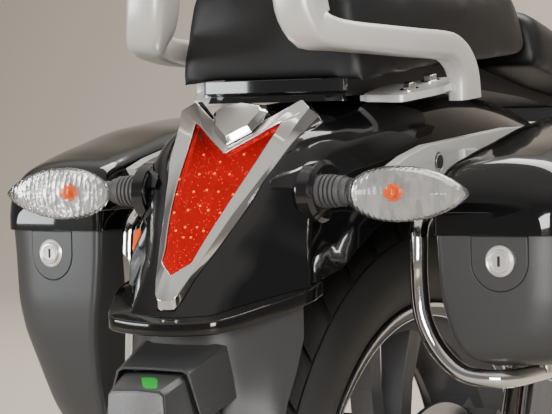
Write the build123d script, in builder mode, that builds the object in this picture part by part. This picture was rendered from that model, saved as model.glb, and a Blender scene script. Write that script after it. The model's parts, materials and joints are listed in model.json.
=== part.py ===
from build123d import *
import math
import os

os.makedirs("parts", exist_ok=True)

# Work frame: +Y forwards, +X to the machine's right, +Z up, zero on the wheel axle, millimetres.
# Every piece is moved once, by save(), so that the upper frame mount is the origin of the part.
MOUNT_Y, MOUNT_Z = 430.0, 335.0
LOWER_Y, LOWER_Z = 440.0, -30.0
BOLT_R = 6.25
MOUNT_LEN = 170.0
GAP = 0.3

# Wheel, 17 inch rim
TYRE_R, TYRE_HALF, RIM_R = 328.0, 70.0, 229.0
AXLE_R, AXLE_PLAY = 10.0, 0.05
HUB_HALF = 52.0
DISC_X, DISC_R, DISC_T = 66.0, 130.0, 5.0
SPROCKET_X, SPROCKET_R, SPROCKET_T = -66.0, 92.0, 6.0

# Swing arm and springs
PIVOT_Y, PIVOT_Z, PIVOT_R = 400.0, 20.0, 8.0
ARM_X, ARM_W, ARM_H = 112.0, 24.0, 46.0
PLATE_X, PLATE_T = 127.0, 8.0
SHOCK_X = 152.0
SHROUD = 116.0
SHOCK_TOP, SHOCK_LOW = (SHOCK_X, 112.0, 340.0), (SHOCK_X, 12.0, 48.0)

# Frame rails
RAIL_X, RAIL_R = 75.0, 13.0

# Tail skin: radial sections about the axle, (angle, [(x, radius)]) from the crown over the lamp's edge, the
# flank and the corner to the lower shoulder and the open edge
SKIN_T = 3.0
SKIN = [
    (150, [(0, 461), (46, 452), (56, 438), (98.5, 356), (98.4, 348), (98, 340)]),
    (147, [(0, 464), (44, 455), (54, 441), (98.5, 366), (98.4, 358), (98, 350)]),
    (144, [(0, 466), (41.5, 457), (54, 445), (98.5, 379.5), (98.4, 371), (98, 362)]),
    (140, [(0, 470), (38.5, 460), (57, 448), (98.5, 397), (98.6, 390), (98.2, 383)]),
    (138, [(0, 470), (42, 461), (58, 449), (98.5, 407.5), (98.8, 397), (98.4, 386)]),
    (136, [(0, 470), (47, 463), (61, 452), (98, 418.5), (99.5, 403), (98.8, 387)]),
    (133, [(0, 470), (54, 466), (67, 457), (94.5, 429), (99.5, 407), (101.5, 382.5)]),
    (131, [(0, 472), (58, 470), (71, 461), (92, 437), (98.5, 410), (104, 381.5)]),
    (129.5, [(0, 474), (62, 475), (75, 466), (90.5, 447), (98, 415), (106, 381)]),
    (127.5, [(0, 474), (65.5, 480), (77, 474), (90.5, 463), (99, 424), (108, 381)]),
    (126, [(0, 475), (68, 484), (80, 477), (91, 465), (103, 424), (110, 381)]),
    (123, [(0, 479), (70, 486), (84, 478), (94, 463), (108, 422), (114, 381)]),
    (120, [(0, 482), (71, 484), (86, 474), (99, 458), (113, 420), (118.5, 380.5)]),
    (117, [(0, 481), (69, 479), (86, 469), (101, 453), (117, 420), (122.5, 379)]),
    (114, [(0, 478), (60, 471), (84, 463), (103, 449), (121, 419), (126, 378)]),
    (108, [(0, 464), (44, 461.5), (74, 459), (105, 446), (129, 415), (130, 374)]),
    (100, [(0, 450), (46, 449), (78, 448), (108, 440), (132, 411), (133, 371)]),
    (88, [(0, 445), (48, 445), (80, 445), (110, 437), (135, 409), (135, 370)]),
    (76, [(0, 445), (48, 445), (80, 445), (111, 437), (136, 409), (136, 370)]),
    (60, [(0, 445), (48, 445), (80, 445), (112, 437), (137, 409), (137, 370)]),
]


def skin_rings(step=6.0):
    """SKIN with sections added so that none are more than step degrees apart."""
    out = [SKIN[0]]
    for (a0, h0), (a1, h1) in zip(SKIN, SKIN[1:]):
        n = math.ceil(abs(a1 - a0) / step)
        for k in range(1, n + 1):
            t = k / n
            out.append((a0 + (a1 - a0) * t, [(p[0] + (q[0] - p[0]) * t, p[1] + (q[1] - p[1]) * t)
                                             for p, q in zip(h0, h1)]))
    return out


LIP_Z, LIP_Y, LIP_SLOPE, LIP_H = 248.5, -397.0, 0.26, 12.0

# Tail lamp plane
LAMP_Y, LAMP_Z = -378.0, 291.0
LAMP_RISE = math.hypot(119.0, 129.0)
LAMP_D = (119.0 / LAMP_RISE, 129.0 / LAMP_RISE)

# Indicators
IND_Y, IND_Z = -289.0, 357.0
IND_IN, IND_OUT, IND_H = 130.0, 251.0, 50.0
STALK_Y = IND_Y + 12

# Panniers
SEAM_Z = 316.0
BOX_IN = 186.0
WALL = 3.5
LOCK_X, LOCK_Z = 249.0, 293.5
HINGE_Y, HINGE_Z = 200.0, 318.0

# Guard tubes, seat, grab rail
GUARD_R = 8.5
SEAT_REAR, SEAT_FRONT = -204.0, 132.0


def ring(points):
    return Wire.make_polygon([Vector(*p) for p in points], close=True)


def stack(rings):
    """Ruled solid through closed rings with equal point counts."""
    return Solid.make_loft([ring(r) for r in rings], True)


def polar(x, angle, radius):
    a = math.radians(angle)
    return (x, radius * math.cos(a), radius * math.sin(a))


def side_prism(points, x0, x1):
    """Outline in (y, z), from x0 to x1."""
    return stack([[(x0, y, z) for y, z in points], [(x1, y, z) for y, z in points]])


def block(x0, x1, y0, y1, z0, z1):
    return side_prism([(y0, z0), (y1, z0), (y1, z1), (y0, z1)], x0, x1)


def rod_x(y, z, radius, x0, x1):
    return Solid.make_cylinder(radius, x1 - x0, Plane((x0, y, z), x_dir=(0, 1, 0), z_dir=(1, 0, 0)))


def rod(a, b, radius):
    a, b = Vector(*a), Vector(*b)
    return Solid.make_cylinder(radius, (b - a).length, Plane(a, z_dir=(b - a).normalized()))


def bar(path, sizes, count=12, square=2.0, side=(1, 0, 0)):
    """Bent bar: rings of width w across side (one, or one a ring) and height h, square 2 is round, more is boxy."""
    pts = [Vector(*p) for p in path]
    rings = []
    for i, p in enumerate(pts):
        before = (p - pts[i - 1]).normalized() if i else None
        after = (pts[i + 1] - p).normalized() if i < len(pts) - 1 else None
        tangent = (before + after).normalized() if before and after else (before or after)
        lean = Vector(*(side[i] if isinstance(side, list) else side))
        across = lean - tangent * tangent.dot(lean)
        if across.length < 0.3:
            across = Vector(0, 1, 0) - tangent * tangent.Y
        across = across.normalized()
        up = tangent.cross(across)
        w, h = sizes[i] if isinstance(sizes, list) else sizes
        loop = []
        for k in range(count):
            t = 2 * math.pi * (k + 0.5) / count
            c, s = math.cos(t), math.sin(t)
            f = (abs(c) ** square + abs(s) ** square) ** (-1.0 / square)
            q = p + across * (c * f * w / 2) + up * (s * f * h / 2)
            loop.append((q.X, q.Y, q.Z))
        rings.append(loop)
    return stack(rings)


def smooth(path, steps=4):
    """Rounds the corners of a polyline with short arcs of straight pieces."""
    out = [path[0]]
    for i in range(1, len(path) - 1):
        a, b, c = [Vector(*p) for p in path[i - 1:i + 2]]
        d = 0.42 * min((a - b).length, (c - b).length)
        p, r = b + (a - b).normalized() * d, b + (c - b).normalized() * d
        for k in range(steps + 1):
            t = k / steps
            q = p * (1 - t) ** 2 + b * (2 * t * (1 - t)) + r * t ** 2
            out.append((q.X, q.Y, q.Z))
    out.append(path[-1])
    return out


def sided(points, sign):
    return [(sign * p[0],) + tuple(p[1:]) for p in points]


def save(builder, name):
    piece = builder.part.moved(Location((0, -MOUNT_Y, -MOUNT_Z)))
    piece.label = name
    export_step(piece, "parts/" + name + ".step")


def lip_z(y):
    return LIP_Z + LIP_SLOPE * (y - LIP_Y)


def lamp(x, v, n=0.0):
    """Point on the lamp plane: v up the slope, n outwards."""
    return (x, LAMP_Y + v * LAMP_D[0] - n * LAMP_D[1], LAMP_Z + v * LAMP_D[1] + n * LAMP_D[0])


def both(half):
    """Closed outline from its right half, whose first and last points are on the centre line."""
    return half + [(-p[0],) + tuple(p[1:]) for p in half[-2:0:-1]]


# Mounts: two cross tubes with through bores
with BuildPart() as upper_mount_tube:
    add(rod_x(MOUNT_Y, MOUNT_Z, 16.0, -MOUNT_LEN / 2, MOUNT_LEN / 2))
    add(rod_x(MOUNT_Y, MOUNT_Z, BOLT_R, -MOUNT_LEN / 2 - 1, MOUNT_LEN / 2 + 1), mode=Mode.SUBTRACT)
save(upper_mount_tube, "upper_mount_tube")

LOWER_LEN = 2 * (PLATE_X + PLATE_T)
with BuildPart() as lower_mount_tube:
    add(rod_x(LOWER_Y, LOWER_Z, 16, -LOWER_LEN / 2, LOWER_LEN / 2))
    add(rod_x(LOWER_Y, LOWER_Z, BOLT_R, -LOWER_LEN / 2 - 1, LOWER_LEN / 2 + 1), mode=Mode.SUBTRACT)
save(lower_mount_tube, "lower_mount_tube")

# Welded rear frame: two rails, cross braces, shock studs and down tubes
RAIL_PATH = [(MOUNT_Y - 6, MOUNT_Z + 31), (300, 354), (200, 362), (100, 376), (-60, 390), (-160, 386), (-196, 372)]
TUBE_R = 16.0
with BuildPart() as rear_frame:
    for sign in (-1, 1):
        add(bar([(sign * RAIL_X, y, z) for y, z in RAIL_PATH], (2 * RAIL_R, 2 * RAIL_R), 14))
        ear = side_prism([(MOUNT_Y - 46, 352), (MOUNT_Y, 360), (MOUNT_Y + 24, 346), (MOUNT_Y + 24, 322),
                          (MOUNT_Y + 8, 311), (MOUNT_Y - 14, 311), (MOUNT_Y - 30, 322)], sign * 73, sign * 81)
        ear = ear - rod_x(MOUNT_Y, MOUNT_Z, TUBE_R + GAP, -100, 100)
        add(ear)
        stud = rod_x(SHOCK_TOP[1], SHOCK_TOP[2], 7, 70, SHOCK_X + 24)
        add(stud if sign > 0 else stud.mirror(Plane.YZ))
        add(side_prism([(90, 376), (142, 374), (130, 328), (98, 328)], sign * 71, sign * 80))
        down = [(sign * 79, 300, 354), (sign * 104, 322, 326), (sign * 115.7, 350, 250), (sign * 115.7, 378, 90)]
        add(bar(smooth(down, 3), (21, 21), 12))
        for y0, low, high in ((-70, 392, 434), (140, 366, 408.5)):
            add(block(sign * 66, sign * 80, y0, y0 + 20, low, high))
        add(block(sign * 60, sign * 80, -146, -130, 384, 430))
save(rear_frame, "rear_frame")

with BuildPart() as frame_crossbars:
    for y, z in ((-120, 388), (150, 368)):
        add(rod_x(y, z, 9, -RAIL_X + RAIL_R / 2, RAIL_X - RAIL_R / 2))
    add(rear_frame.part, mode=Mode.SUBTRACT)
save(frame_crossbars, "frame_crossbars")

PLATE = [(352, 170), (392, 176), (424, 60), (462, -10), (462, -48), (440, -56), (400, -30), (372, 10), (372, 60)]
for sign, side_name in ((-1, "left"), (1, "right")):
    with BuildPart() as pivot_plate:
        add(side_prism(PLATE, sign * PLATE_X, sign * (PLATE_X + PLATE_T)))
        hole = rod_x(PIVOT_Y, PIVOT_Z, PIVOT_R + AXLE_PLAY, PLATE_X - 1, PLATE_X + PLATE_T + 1)
        add(hole if sign > 0 else hole.mirror(Plane.YZ), mode=Mode.SUBTRACT)
        hole = rod_x(LOWER_Y, LOWER_Z, TUBE_R + GAP, PLATE_X - 1, PLATE_X + PLATE_T + 1)
        add(hole if sign > 0 else hole.mirror(Plane.YZ), mode=Mode.SUBTRACT)
    save(pivot_plate, "pivot_plate_" + side_name)

with BuildPart() as pivot_bolt:
    end = PLATE_X + PLATE_T + GAP
    add(rod_x(PIVOT_Y, PIVOT_Z, PIVOT_R, -end, end))
    add(rod_x(PIVOT_Y, PIVOT_Z, 14, end - 0.01, end + 9))
    add(rod_x(PIVOT_Y, PIVOT_Z, 14, -end - 9, -end + 0.01))
save(pivot_bolt, "pivot_bolt")

# Swing arm: two box arms, cross tube and pivot tube
with BuildPart() as swing_arm:
    for sign in (-1, 1):
        arm = [(PIVOT_Y + 26, PIVOT_Z + 6), (PIVOT_Y + 8, PIVOT_Z + 27), (330, 40), (60, 26), (-34, 22), (-46, 10),
               (-46, -10), (-34, -22), (60, -20), (330, -6), (PIVOT_Y + 8, PIVOT_Z - 26), (PIVOT_Y + 26, PIVOT_Z - 8)]
        add(side_prism(arm, sign * (ARM_X - ARM_W / 2), sign * (ARM_X + ARM_W / 2)))
        add(side_prism([(-12, 20), (-6, 52), (2, 62), (20, 62), (32, 50), (44, 24)],
                       sign * (ARM_X + 2), sign * (ARM_X + 11)))
        lug = rod(sided([(ARM_X + 8, SHOCK_LOW[1], SHOCK_LOW[2])], sign)[0],
                  sided([(SHOCK_X + 18, SHOCK_LOW[1], SHOCK_LOW[2])], sign)[0], 6)
        add(lug)
    add(rod_x(PIVOT_Y, PIVOT_Z, 24, -ARM_X, ARM_X))
    add(block(-ARM_X, ARM_X, 346, 380, -2, 42))
    add(rod_x(PIVOT_Y, PIVOT_Z, PIVOT_R + AXLE_PLAY, -ARM_X - 20, ARM_X + 20), mode=Mode.SUBTRACT)
    add(rod_x(0, 0, AXLE_R, -ARM_X - 20, ARM_X + 20), mode=Mode.SUBTRACT)
save(swing_arm, "swing_arm")

with BuildPart() as rear_axle:
    add(rod_x(0, 0, AXLE_R, -ARM_X - 24, ARM_X + 24))
    add(rod_x(0, 0, 16, ARM_X + 12, ARM_X + 22))
    add(rod_x(0, 0, 16, -ARM_X - 22, -ARM_X - 12))
    add(rod_x(0, 0, 15, HUB_HALF + 26, ARM_X - 12))
    add(rod_x(0, 0, 15, -ARM_X + 12, -HUB_HALF - 26))
save(rear_axle, "rear_axle")

# Shock absorbers
for sign, side_name in ((-1, "left"), (1, "right")):
    top, low = Vector(*sided([SHOCK_TOP], sign)[0]), Vector(*sided([SHOCK_LOW], sign)[0])
    axis = (top - low).normalized()
    length = (top - low).length
    with BuildPart() as shock:
        add(rod(tuple(low + axis * 12), tuple(low + axis * 30), 18))
        add(rod(tuple(low + axis * 24), tuple(low + axis * SHROUD), 28))
        add(rod(tuple(low + axis * (SHROUD - 8)), tuple(low + axis * SHROUD), 31))
        add(rod(tuple(low + axis * SHROUD), tuple(low + axis * (SHROUD + 10)), 26))
        add(rod(tuple(low + axis * (SHROUD + 3)), tuple(low + axis * (SHROUD + 8)), 30))
        add(rod(tuple(low + axis * 110), tuple(top - axis * 14), 14))
        add(rod(tuple(top - axis * 34), tuple(top - axis * 26), 29))
        for end, pin in ((top, 7), (low, 6)):
            add(rod((end.X - 14, end.Y, end.Z), (end.X + 14, end.Y, end.Z), 16))
        for end, pin in ((top, 7), (low, 6)):
            add(rod((end.X - 15, end.Y, end.Z), (end.X + 15, end.Y, end.Z), pin + GAP), mode=Mode.SUBTRACT)
    save(shock, "shock_" + side_name)
    with BuildPart() as spring:
        turns, n = 5, 12
        start, stop = SHROUD + 10 + 3.9, length - 34 - 3.9
        u = Vector(1, 0, 0)
        v = axis.cross(u).normalized()
        path = []
        for k in range(turns * n + 1):
            t = 2 * math.pi * k / n
            p = low + axis * (start + (stop - start) * k / (turns * n)) + u * (24 * math.cos(t)) + v * (24 * math.sin(t))
            path.append((p.X, p.Y, p.Z))
        rings = []
        for k, p in enumerate(path):
            t = 2 * math.pi * k / n
            out = u * math.cos(t) + v * math.sin(t)
            c = Vector(*p)
            loop = [c + out * (3.6 * math.cos(a)) + axis * (3.6 * math.sin(a))
                    for a in [math.pi / 3 * j for j in range(6)]]
            rings.append([(q.X, q.Y, q.Z) for q in loop])
        add(stack(rings))
    save(spring, "shock_spring_" + side_name)

# Wheel
with BuildPart() as tyre:
    with BuildSketch(Plane.XY):
        with BuildLine():
            ThreePointArc((-62, 300), (0, TYRE_R), (62, 300))
            ThreePointArc((62, 300), (TYRE_HALF, 270), (52, 233))
            Line((52, 233), (44, RIM_R))
            Line((44, RIM_R), (44, RIM_R - 5))
            Line((44, RIM_R - 5), (40, RIM_R - 5))
            Line((40, RIM_R - 5), (46, 240))
            ThreePointArc((46, 240), (60, 272), (52, 294))
            ThreePointArc((52, 294), (0, TYRE_R - 14), (-52, 294))
            ThreePointArc((-52, 294), (-60, 272), (-46, 240))
            Line((-46, 240), (-40, RIM_R - 5))
            Line((-40, RIM_R - 5), (-44, RIM_R - 5))
            Line((-44, RIM_R - 5), (-44, RIM_R))
            Line((-44, RIM_R), (-52, 233))
            ThreePointArc((-52, 233), (-TYRE_HALF, 270), (-62, 300))
        make_face()
    revolve(axis=Axis.X)
save(tyre, "tyre")

SPOKES = 5
with BuildPart() as wheel_casting:
    with BuildSketch(Plane.XY):
        with BuildLine():
            Polyline((-57, 231), (-53, 232), (-47, RIM_R - 5.4), (-38, RIM_R - 5.4), (-30, 212), (30, 212),
                     (38, RIM_R - 5.4), (47, RIM_R - 5.4), (53, 232), (57, 231), (52, 219), (40, 214), (32, 203),
                     (-32, 203), (-40, 214), (-52, 219), close=True)
        make_face()
    revolve(axis=Axis.X)
    add(rod_x(0, 0, 44, -HUB_HALF, HUB_HALF))
    for k in range(SPOKES):
        for lean in (-1, 1):
            a = math.radians(90 + 72 * k)
            b = a + lean * math.radians(13)
            c = a + lean * math.radians(20)
            rings = []
            for radius, angle, w, h in ((36, c, 22, 40), (90, b + lean * 0.04, 17, 34), (150, b, 14, 34), (208, b, 20, 44)):
                cy, cz = radius * math.cos(angle), radius * math.sin(angle)
                ty, tz = -math.sin(b), math.cos(b)
                rings.append([(h / 2, cy - ty * w / 2, cz - tz * w / 2), (h / 2 - 4, cy + ty * w / 2, cz + tz * w / 2),
                              (-h / 2 + 4, cy + ty * w / 2, cz + tz * w / 2), (-h / 2, cy - ty * w / 2, cz - tz * w / 2)])
            add(stack(rings))
    add(rod_x(0, 0, AXLE_R + AXLE_PLAY, -HUB_HALF - 5, HUB_HALF + 5), mode=Mode.SUBTRACT)
save(wheel_casting, "wheel_casting")

with BuildPart() as brake_disc:
    add(rod_x(0, 0, DISC_R, DISC_X - DISC_T / 2, DISC_X + DISC_T / 2))
    add(rod_x(0, 0, DISC_R - 34, DISC_X - 9, DISC_X + 9), mode=Mode.SUBTRACT)
    add(rod_x(0, 0, 46, HUB_HALF, DISC_X + 3))
    for k in range(5):
        a = math.radians(72 * k)
        arm = [polar(0, 72 * k - 7, 40), polar(0, 72 * k + 7, 40), polar(0, 72 * k + 5, DISC_R - 30),
               polar(0, 72 * k - 5, DISC_R - 30)]
        add(side_prism([(p[1], p[2]) for p in arm], DISC_X - 2, DISC_X + 2))
    add(rod_x(0, 0, AXLE_R + 6, HUB_HALF - 5, DISC_X + 5), mode=Mode.SUBTRACT)
save(brake_disc, "brake_disc")

with BuildPart() as sprocket:
    teeth, outline = 38, []
    for k in range(teeth):
        for f, radius in ((-0.32, -7), (-0.12, 0), (0.12, 0), (0.32, -7)):
            p = polar(0, (k + f) * 360 / teeth, SPROCKET_R + radius)
            outline.append((p[1], p[2]))
    add(side_prism(outline, SPROCKET_X - SPROCKET_T / 2, SPROCKET_X + SPROCKET_T / 2))
    for k in range(5):
        p = polar(0, 72 * k + 36, 62)
        add(rod_x(p[1], p[2], 13, SPROCKET_X - 8, SPROCKET_X + 8), mode=Mode.SUBTRACT)
    add(rod_x(0, 0, 46, SPROCKET_X - 3, -HUB_HALF))
    add(rod_x(0, 0, AXLE_R + 6, SPROCKET_X - 8, -HUB_HALF + 5), mode=Mode.SUBTRACT)
save(sprocket, "sprocket")

with BuildPart() as brake_caliper:
    arc = [polar(0, a, r) for a, r in ((28, 88), (28, 142), (40, 150), (54, 142), (54, 88), (40, 84))]
    outline = [(p[1], p[2]) for p in arc]
    add(side_prism(outline, DISC_X - 16, DISC_X + 28))
    add(rod_x(0, 0, DISC_R + 5, DISC_X - 6, DISC_X + 6), mode=Mode.SUBTRACT)
    add(side_prism([(20, -14), (96, 60), (84, 104), (60, 108), (-16, 14), (-14, -14)], DISC_X + 12, DISC_X + 20))
    add(rod_x(0, 0, 15 + GAP, DISC_X + 10, DISC_X + 22), mode=Mode.SUBTRACT)
    add(side_prism([(60, 20), (96, 22), (100, 70), (70, 70)], DISC_X + 12, ARM_X - ARM_W / 2 - 0.0))
save(brake_caliper, "brake_caliper")

with BuildPart() as chain_guard:
    top = [(-96, 60), (-84, 96), (-40, 116), (20, 112), (220, 78), (330, 66)]
    low = [(330, 42), (220, 52), (30, 96), (-36, 104), (-76, 86), (-88, 56)]
    add(side_prism(top + low, -80, -ARM_X + ARM_W / 2 + GAP))
    add(block(-ARM_X + ARM_W / 2 + GAP, -94, 190, 230, 22, 60))
save(chain_guard, "chain_guard")

# Painted shells: rear fender with the tail, one C-shaped ring to a section
rings = []
for angle, half in skin_rings():
    half_out = list(half)
    half_in = []
    for i, (x, r) in enumerate(half):
        last = i == len(half) - 1
        steep = i >= len(half) - 3
        half_in.append((x - (SKIN_T if steep else 0.9 if i else 0), r - (0 if last else 1.2 if steep else SKIN_T)))
    loop = [(-x, r) for x, r in half_out[:0:-1]] + half_out + half_in[::-1] + [(-x, r) for x, r in half_in[1:]]
    rings.append([polar(x, angle, r) for x, r in loop])
lamp_hole = [(0, -36.5), (19.4, -31.4), (41.5, 9.8), (47.5, 35.8), (55.5, 60.8), (63.5, 89.8), (67.5, 124),
             (71.5, 156), (73.5, 180), (75.6, 197.2), (57, 209.7), (31.8, 186.6), (0, 163.6)]
with BuildPart() as rear_fender:
    add(stack(rings))
    below = [(-640, lip_z(-640)), (-230, lip_z(-230)), (-230, 60), (-640, 60)]
    add(side_prism(below, -160, 160), mode=Mode.SUBTRACT)
    add(stack([[lamp(x, v, n) for x, v in both(lamp_hole)] for n in (-60, 30)]), mode=Mode.SUBTRACT)
save(rear_fender, "rear_fender")

lip_out = [(0, -402), (34, -398), (58, -391), (70, -375), (78, -358.5), (86, -344.5), (93, -333), (101, -314),
           (104, -300), (103, -286)]
lip_in = [(0, -368.5), (30, -365.5), (46.5, -357.4), (55, -350), (62.5, -343.3), (70, -334.5), (78.5, -325.2),
          (87.5, -312.2), (94, -302), (95, -286)]
with BuildPart() as tail_lip:
    loop = [(-x, y) for x, y in lip_out[:0:-1]] + lip_out + lip_in[::-1] + [(-x, y) for x, y in lip_in[1:]]
    add(stack([[(x, y, lip_z(y) - GAP) for x, y in loop], [(x, y, lip_z(y) - GAP - LIP_H) for x, y in loop]]))
    add(stack([[lamp(x, v, n) for x, v in both(lamp_hole)] for n in (-26, 30)]), mode=Mode.SUBTRACT)
save(tail_lip, "tail_lip")

# Inner guard hanging below the lip: its top fits inside the lip, its foot tapers down behind the tyre
GUARD_TOP = [(0, -368), (30, -365), (46, -357), (62, -343), (78, -325), (87, -312), (92, -302)]
GUARD_LEVELS = [
    (228, GUARD_TOP),
    (200, [(0, -366), (30, -363), (48, -355), (63, -342), (78, -329), (86, -320), (90, -312)]),
    (160, [(0, -364), (34, -361), (50, -354), (66, -345), (78, -338), (84, -334), (88, -330)]),
    (90, [(0, -360), (36, -358), (52, -353), (66, -346), (78, -341), (84, -338), (88, -336)]),
    (20, [(0, -356), (38, -354), (54, -350), (66, -346), (78, -343), (84, -340), (88, -338)]),
]
GUARD_IN = [(0, 3), (-0.4, 3), (-1.6, 2.6), (-2.2, 2.1), (-2.4, 1.8), (-2.6, 1.5), (-3, 0.6)]


def shifted(half, t):
    return [(x + t * dx / 3, y + t * dy / 3) for (x, y), (dx, dy) in zip(half, GUARD_IN)]


def guard_ring(half, level):
    inside = shifted(half, 3)
    loop = [(-x, y) for x, y in half[:0:-1]] + half + inside[::-1] + [(-x, y) for x, y in inside[1:]]
    return [(x, y, level(y)) for x, y in loop]


rings = [guard_ring(GUARD_TOP, lambda y: lip_z(y) - 2.5)]
rings += [guard_ring(half, lambda y, z=z: z) for z, half in GUARD_LEVELS]
with BuildPart() as inner_guard:
    add(stack(rings))
save(inner_guard, "inner_guard")

# Number plate carrier: a hood open to the rear with a bracket below, seated on the guard
HOOD_FRONT, HOOD_REAR = -340.0, -408.0
HOOD_TOP = [(0, 236.7), (39.6, 235.6), (48, 231.4), (52, 181.6), (0, 179.6)]
HOOD_END = [(0, 209), (32, 208.5), (38.5, 205), (52, 164), (0, 162)]


def hood_ring(y, wall=0.0):
    t = (y - HOOD_FRONT) / (HOOD_REAR - HOOD_FRONT)
    half = [(a[0] + (b[0] - a[0]) * t, a[1] + (b[1] - a[1]) * t) for a, b in zip(HOOD_TOP, HOOD_END)]
    inward = [(0, -1), (-0.4, -1), (-1, -0.5), (-1, 1), (0, 1)]
    return [(x, y, z) for x, z in both([(x + wall * dx, z + wall * dz) for (x, z), (dx, dz) in zip(half, inward)])]


with BuildPart() as plate_carrier:
    add(stack([hood_ring(HOOD_FRONT), hood_ring(HOOD_REAR)]))
    add(stack([hood_ring(-374, 2.5), hood_ring(HOOD_REAR - 2, 2.5)]), mode=Mode.SUBTRACT)
    add(side_prism([(-371.5, 176), (-368.5, 176), (-366.5, 110), (-369.5, 110)], -44, 44))
    full = [[(x, y, z) for x, y in [(-a, b) for a, b in shifted(half, -0.4)[:0:-1]] + shifted(half, -0.4)
             + [(half[-1][0], -250), (-half[-1][0], -250)]] for z, half in [(270, GUARD_TOP)] + GUARD_LEVELS]
    add(stack(full), mode=Mode.SUBTRACT)
save(plate_carrier, "plate_carrier")

with BuildPart() as plate_lamp:
    nose = [(0, 203), (28, 202), (32, 198), (40, 177), (0, 176)]
    waist = [(0, 203.5), (29, 203), (34, 199), (43, 168.5), (0, 167.5)]
    tail = [(0, 193.5), (25, 192.5), (29.5, 188), (32, 152), (0, 151)]
    add(stack([[(x, y, z) for x, z in both(half)] for y, half in ((-374.3, nose), (-408, waist), (-433, tail))]))
save(plate_lamp, "plate_lamp")

with BuildPart() as plate_lamp_lens:
    face = [(0, 191.5), (24.5, 190.5), (28.4, 187), (30.6, 154), (0, 153)]
    crown = [(0, 190.5), (23, 189.5), (26.5, 186), (28.6, 155.5), (0, 154.5)]
    add(stack([[(x, y, z) for x, z in both(half)] for y, half in ((-433.3, face), (-435, face), (-436.2, crown))]))
save(plate_lamp_lens, "plate_lamp_lens")

# Tail lamp: chrome V surround, red lens, housing, crest
lens_out = [(0, 0), (4, 1.5), (17, 15), (33, 97), (46.9, 175.5), (0, 138.5)]
inner = [(0, -6), (7, -4), (20, 11), (25, 40), (30, 68), (35, 95), (41, 126), (45, 148), (48.5, 168), (49.5, 181),
         (38, 172), (25, 162), (0, 143.5)]
ridge = [(0, -29), (16, -26), (37, 12), (42, 38), (50, 64), (58, 92), (60.5, 125), (61.5, 152), (66, 172), (71, 191),
         (58.5, 203), (34, 183), (0, 158)]
outer = [(0, -36), (19, -31), (41, 10), (47, 36), (55, 61), (63, 90), (67, 124), (71, 156), (73, 180), (75, 197),
         (57, 209), (32, 186), (0, 163)]
rise = [1, 1, 1, 1, 1, 1.5, 2.5, 3, 3, 3, 2, 1, 1]
deep = [-15, -15, -14, -13, -12, -9, -1, -1, -8, -13, -5, -6, -8]
with BuildPart() as lamp_surround:
    add(stack([[lamp(x, v, -24) for x, v in both(outer)],
               [lamp(*q) for q in both([(x, v, n) for (x, v), n in zip(outer, deep)])],
               [lamp(*q) for q in both([(x, v, n) for (x, v), n in zip(ridge, rise)])],
               [lamp(x, v, 2.5) for x, v in both(inner)]]))
    pocket = [(0, -1.5), (5, 0), (18.6, 14), (34.6, 97), (48.5, 177.3), (0, 139.8)]
    add(stack([[lamp(x, v, n) for x, v in both(pocket)] for n in (-40, 10)]), mode=Mode.SUBTRACT)
save(lamp_surround, "lamp_surround")

with BuildPart() as lamp_lens:
    add(stack([[lamp(x, v, n) for x, v in both(lens_out)] for n in (-5, 0)]))
save(lamp_lens, "lamp_lens")

with BuildPart() as lamp_housing:
    rim = [(0, -1.2), (4.7, 0.2), (18.2, 14.2), (34.2, 97), (48.2, 177), (0, 139.6)]
    floor = [(0, 14), (3, 16), (11, 26), (26, 98), (36, 158), (0, 128)]
    add(stack([[lamp(x, v, -5 - GAP) for x, v in both(rim)], [lamp(x, v, -24) for x, v in both(rim)],
               [lamp(x, v, -46) for x, v in both(floor)]]))
    rim = [(0, 1), (3, 2.8), (15.8, 16), (31.6, 97), (45, 173), (0, 136.5)]
    floor = [(0, 18), (2, 20), (10, 30), (24, 98), (34, 154), (0, 126)]
    add(stack([[lamp(x, v, -4) for x, v in both(rim)], [lamp(x, v, -23) for x, v in both(rim)],
               [lamp(x, v, -43.5) for x, v in both(floor)]]), mode=Mode.SUBTRACT)
save(lamp_housing, "lamp_housing")

with BuildPart() as crest:
    low = [(0, 147), (21, 163), (30, 186), (25, 194), (0, 199)]
    top = [(0, 152), (17, 166), (24, 184), (20, 190), (0, 194)]
    add(stack([[lamp(x, v, -11) for x, v in both(low)], [lamp(x, v, 3.5) for x, v in both(low)],
               [lamp(x, v, 8.5) for x, v in both(top)]]))
    add(lamp_surround.part, mode=Mode.SUBTRACT)
save(crest, "crest")


# Seats: sections along Y with rounded shoulders
def seat_ring(y, low_half, low_z, low_mid, top_half, top_z, top_mid):
    half = [(0, low_mid), (low_half * 0.72, low_mid), (low_half, low_z), (low_half + 2, low_z + 12),
            (top_half + 4, top_z - 24), (top_half - 3, top_z - 8), (top_half - 20, top_z), (0, top_mid)]
    return [(x, y, z) for x, z in both(half)]


with BuildPart() as pillion_seat:
    add(stack([seat_ring(-205, 93, 456, 461, 76, 546, 549), seat_ring(-200, 102, 454.5, 460.5, 87, 556, 560),
               seat_ring(-180, 107, 458, 462, 92, 564, 568), seat_ring(-90, 113, 469, 469, 104, 567, 569),
               seat_ring(0, 115, 476, 476, 112, 562, 562), seat_ring(100, 115, 483, 483, 110, 560, 560),
               seat_ring(126, 113, 485.5, 485.5, 103, 552, 554), seat_ring(136, 106, 487, 487, 92, 536, 540)]))
save(pillion_seat, "pillion_seat")

with BuildPart() as rider_seat:
    add(stack([seat_ring(142, 112, 474, 474, 104, 530, 534), seat_ring(156, 118, 470, 470, 112, 534, 534),
               seat_ring(250, 116, 452, 452, 112, 512, 502), seat_ring(360, 84, 436, 436, 80, 494, 492),
               seat_ring(424, 62, 424, 424, 56, 480, 482), seat_ring(436, 54, 424, 424, 46, 466, 470)]))
save(rider_seat, "rider_seat")

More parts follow.
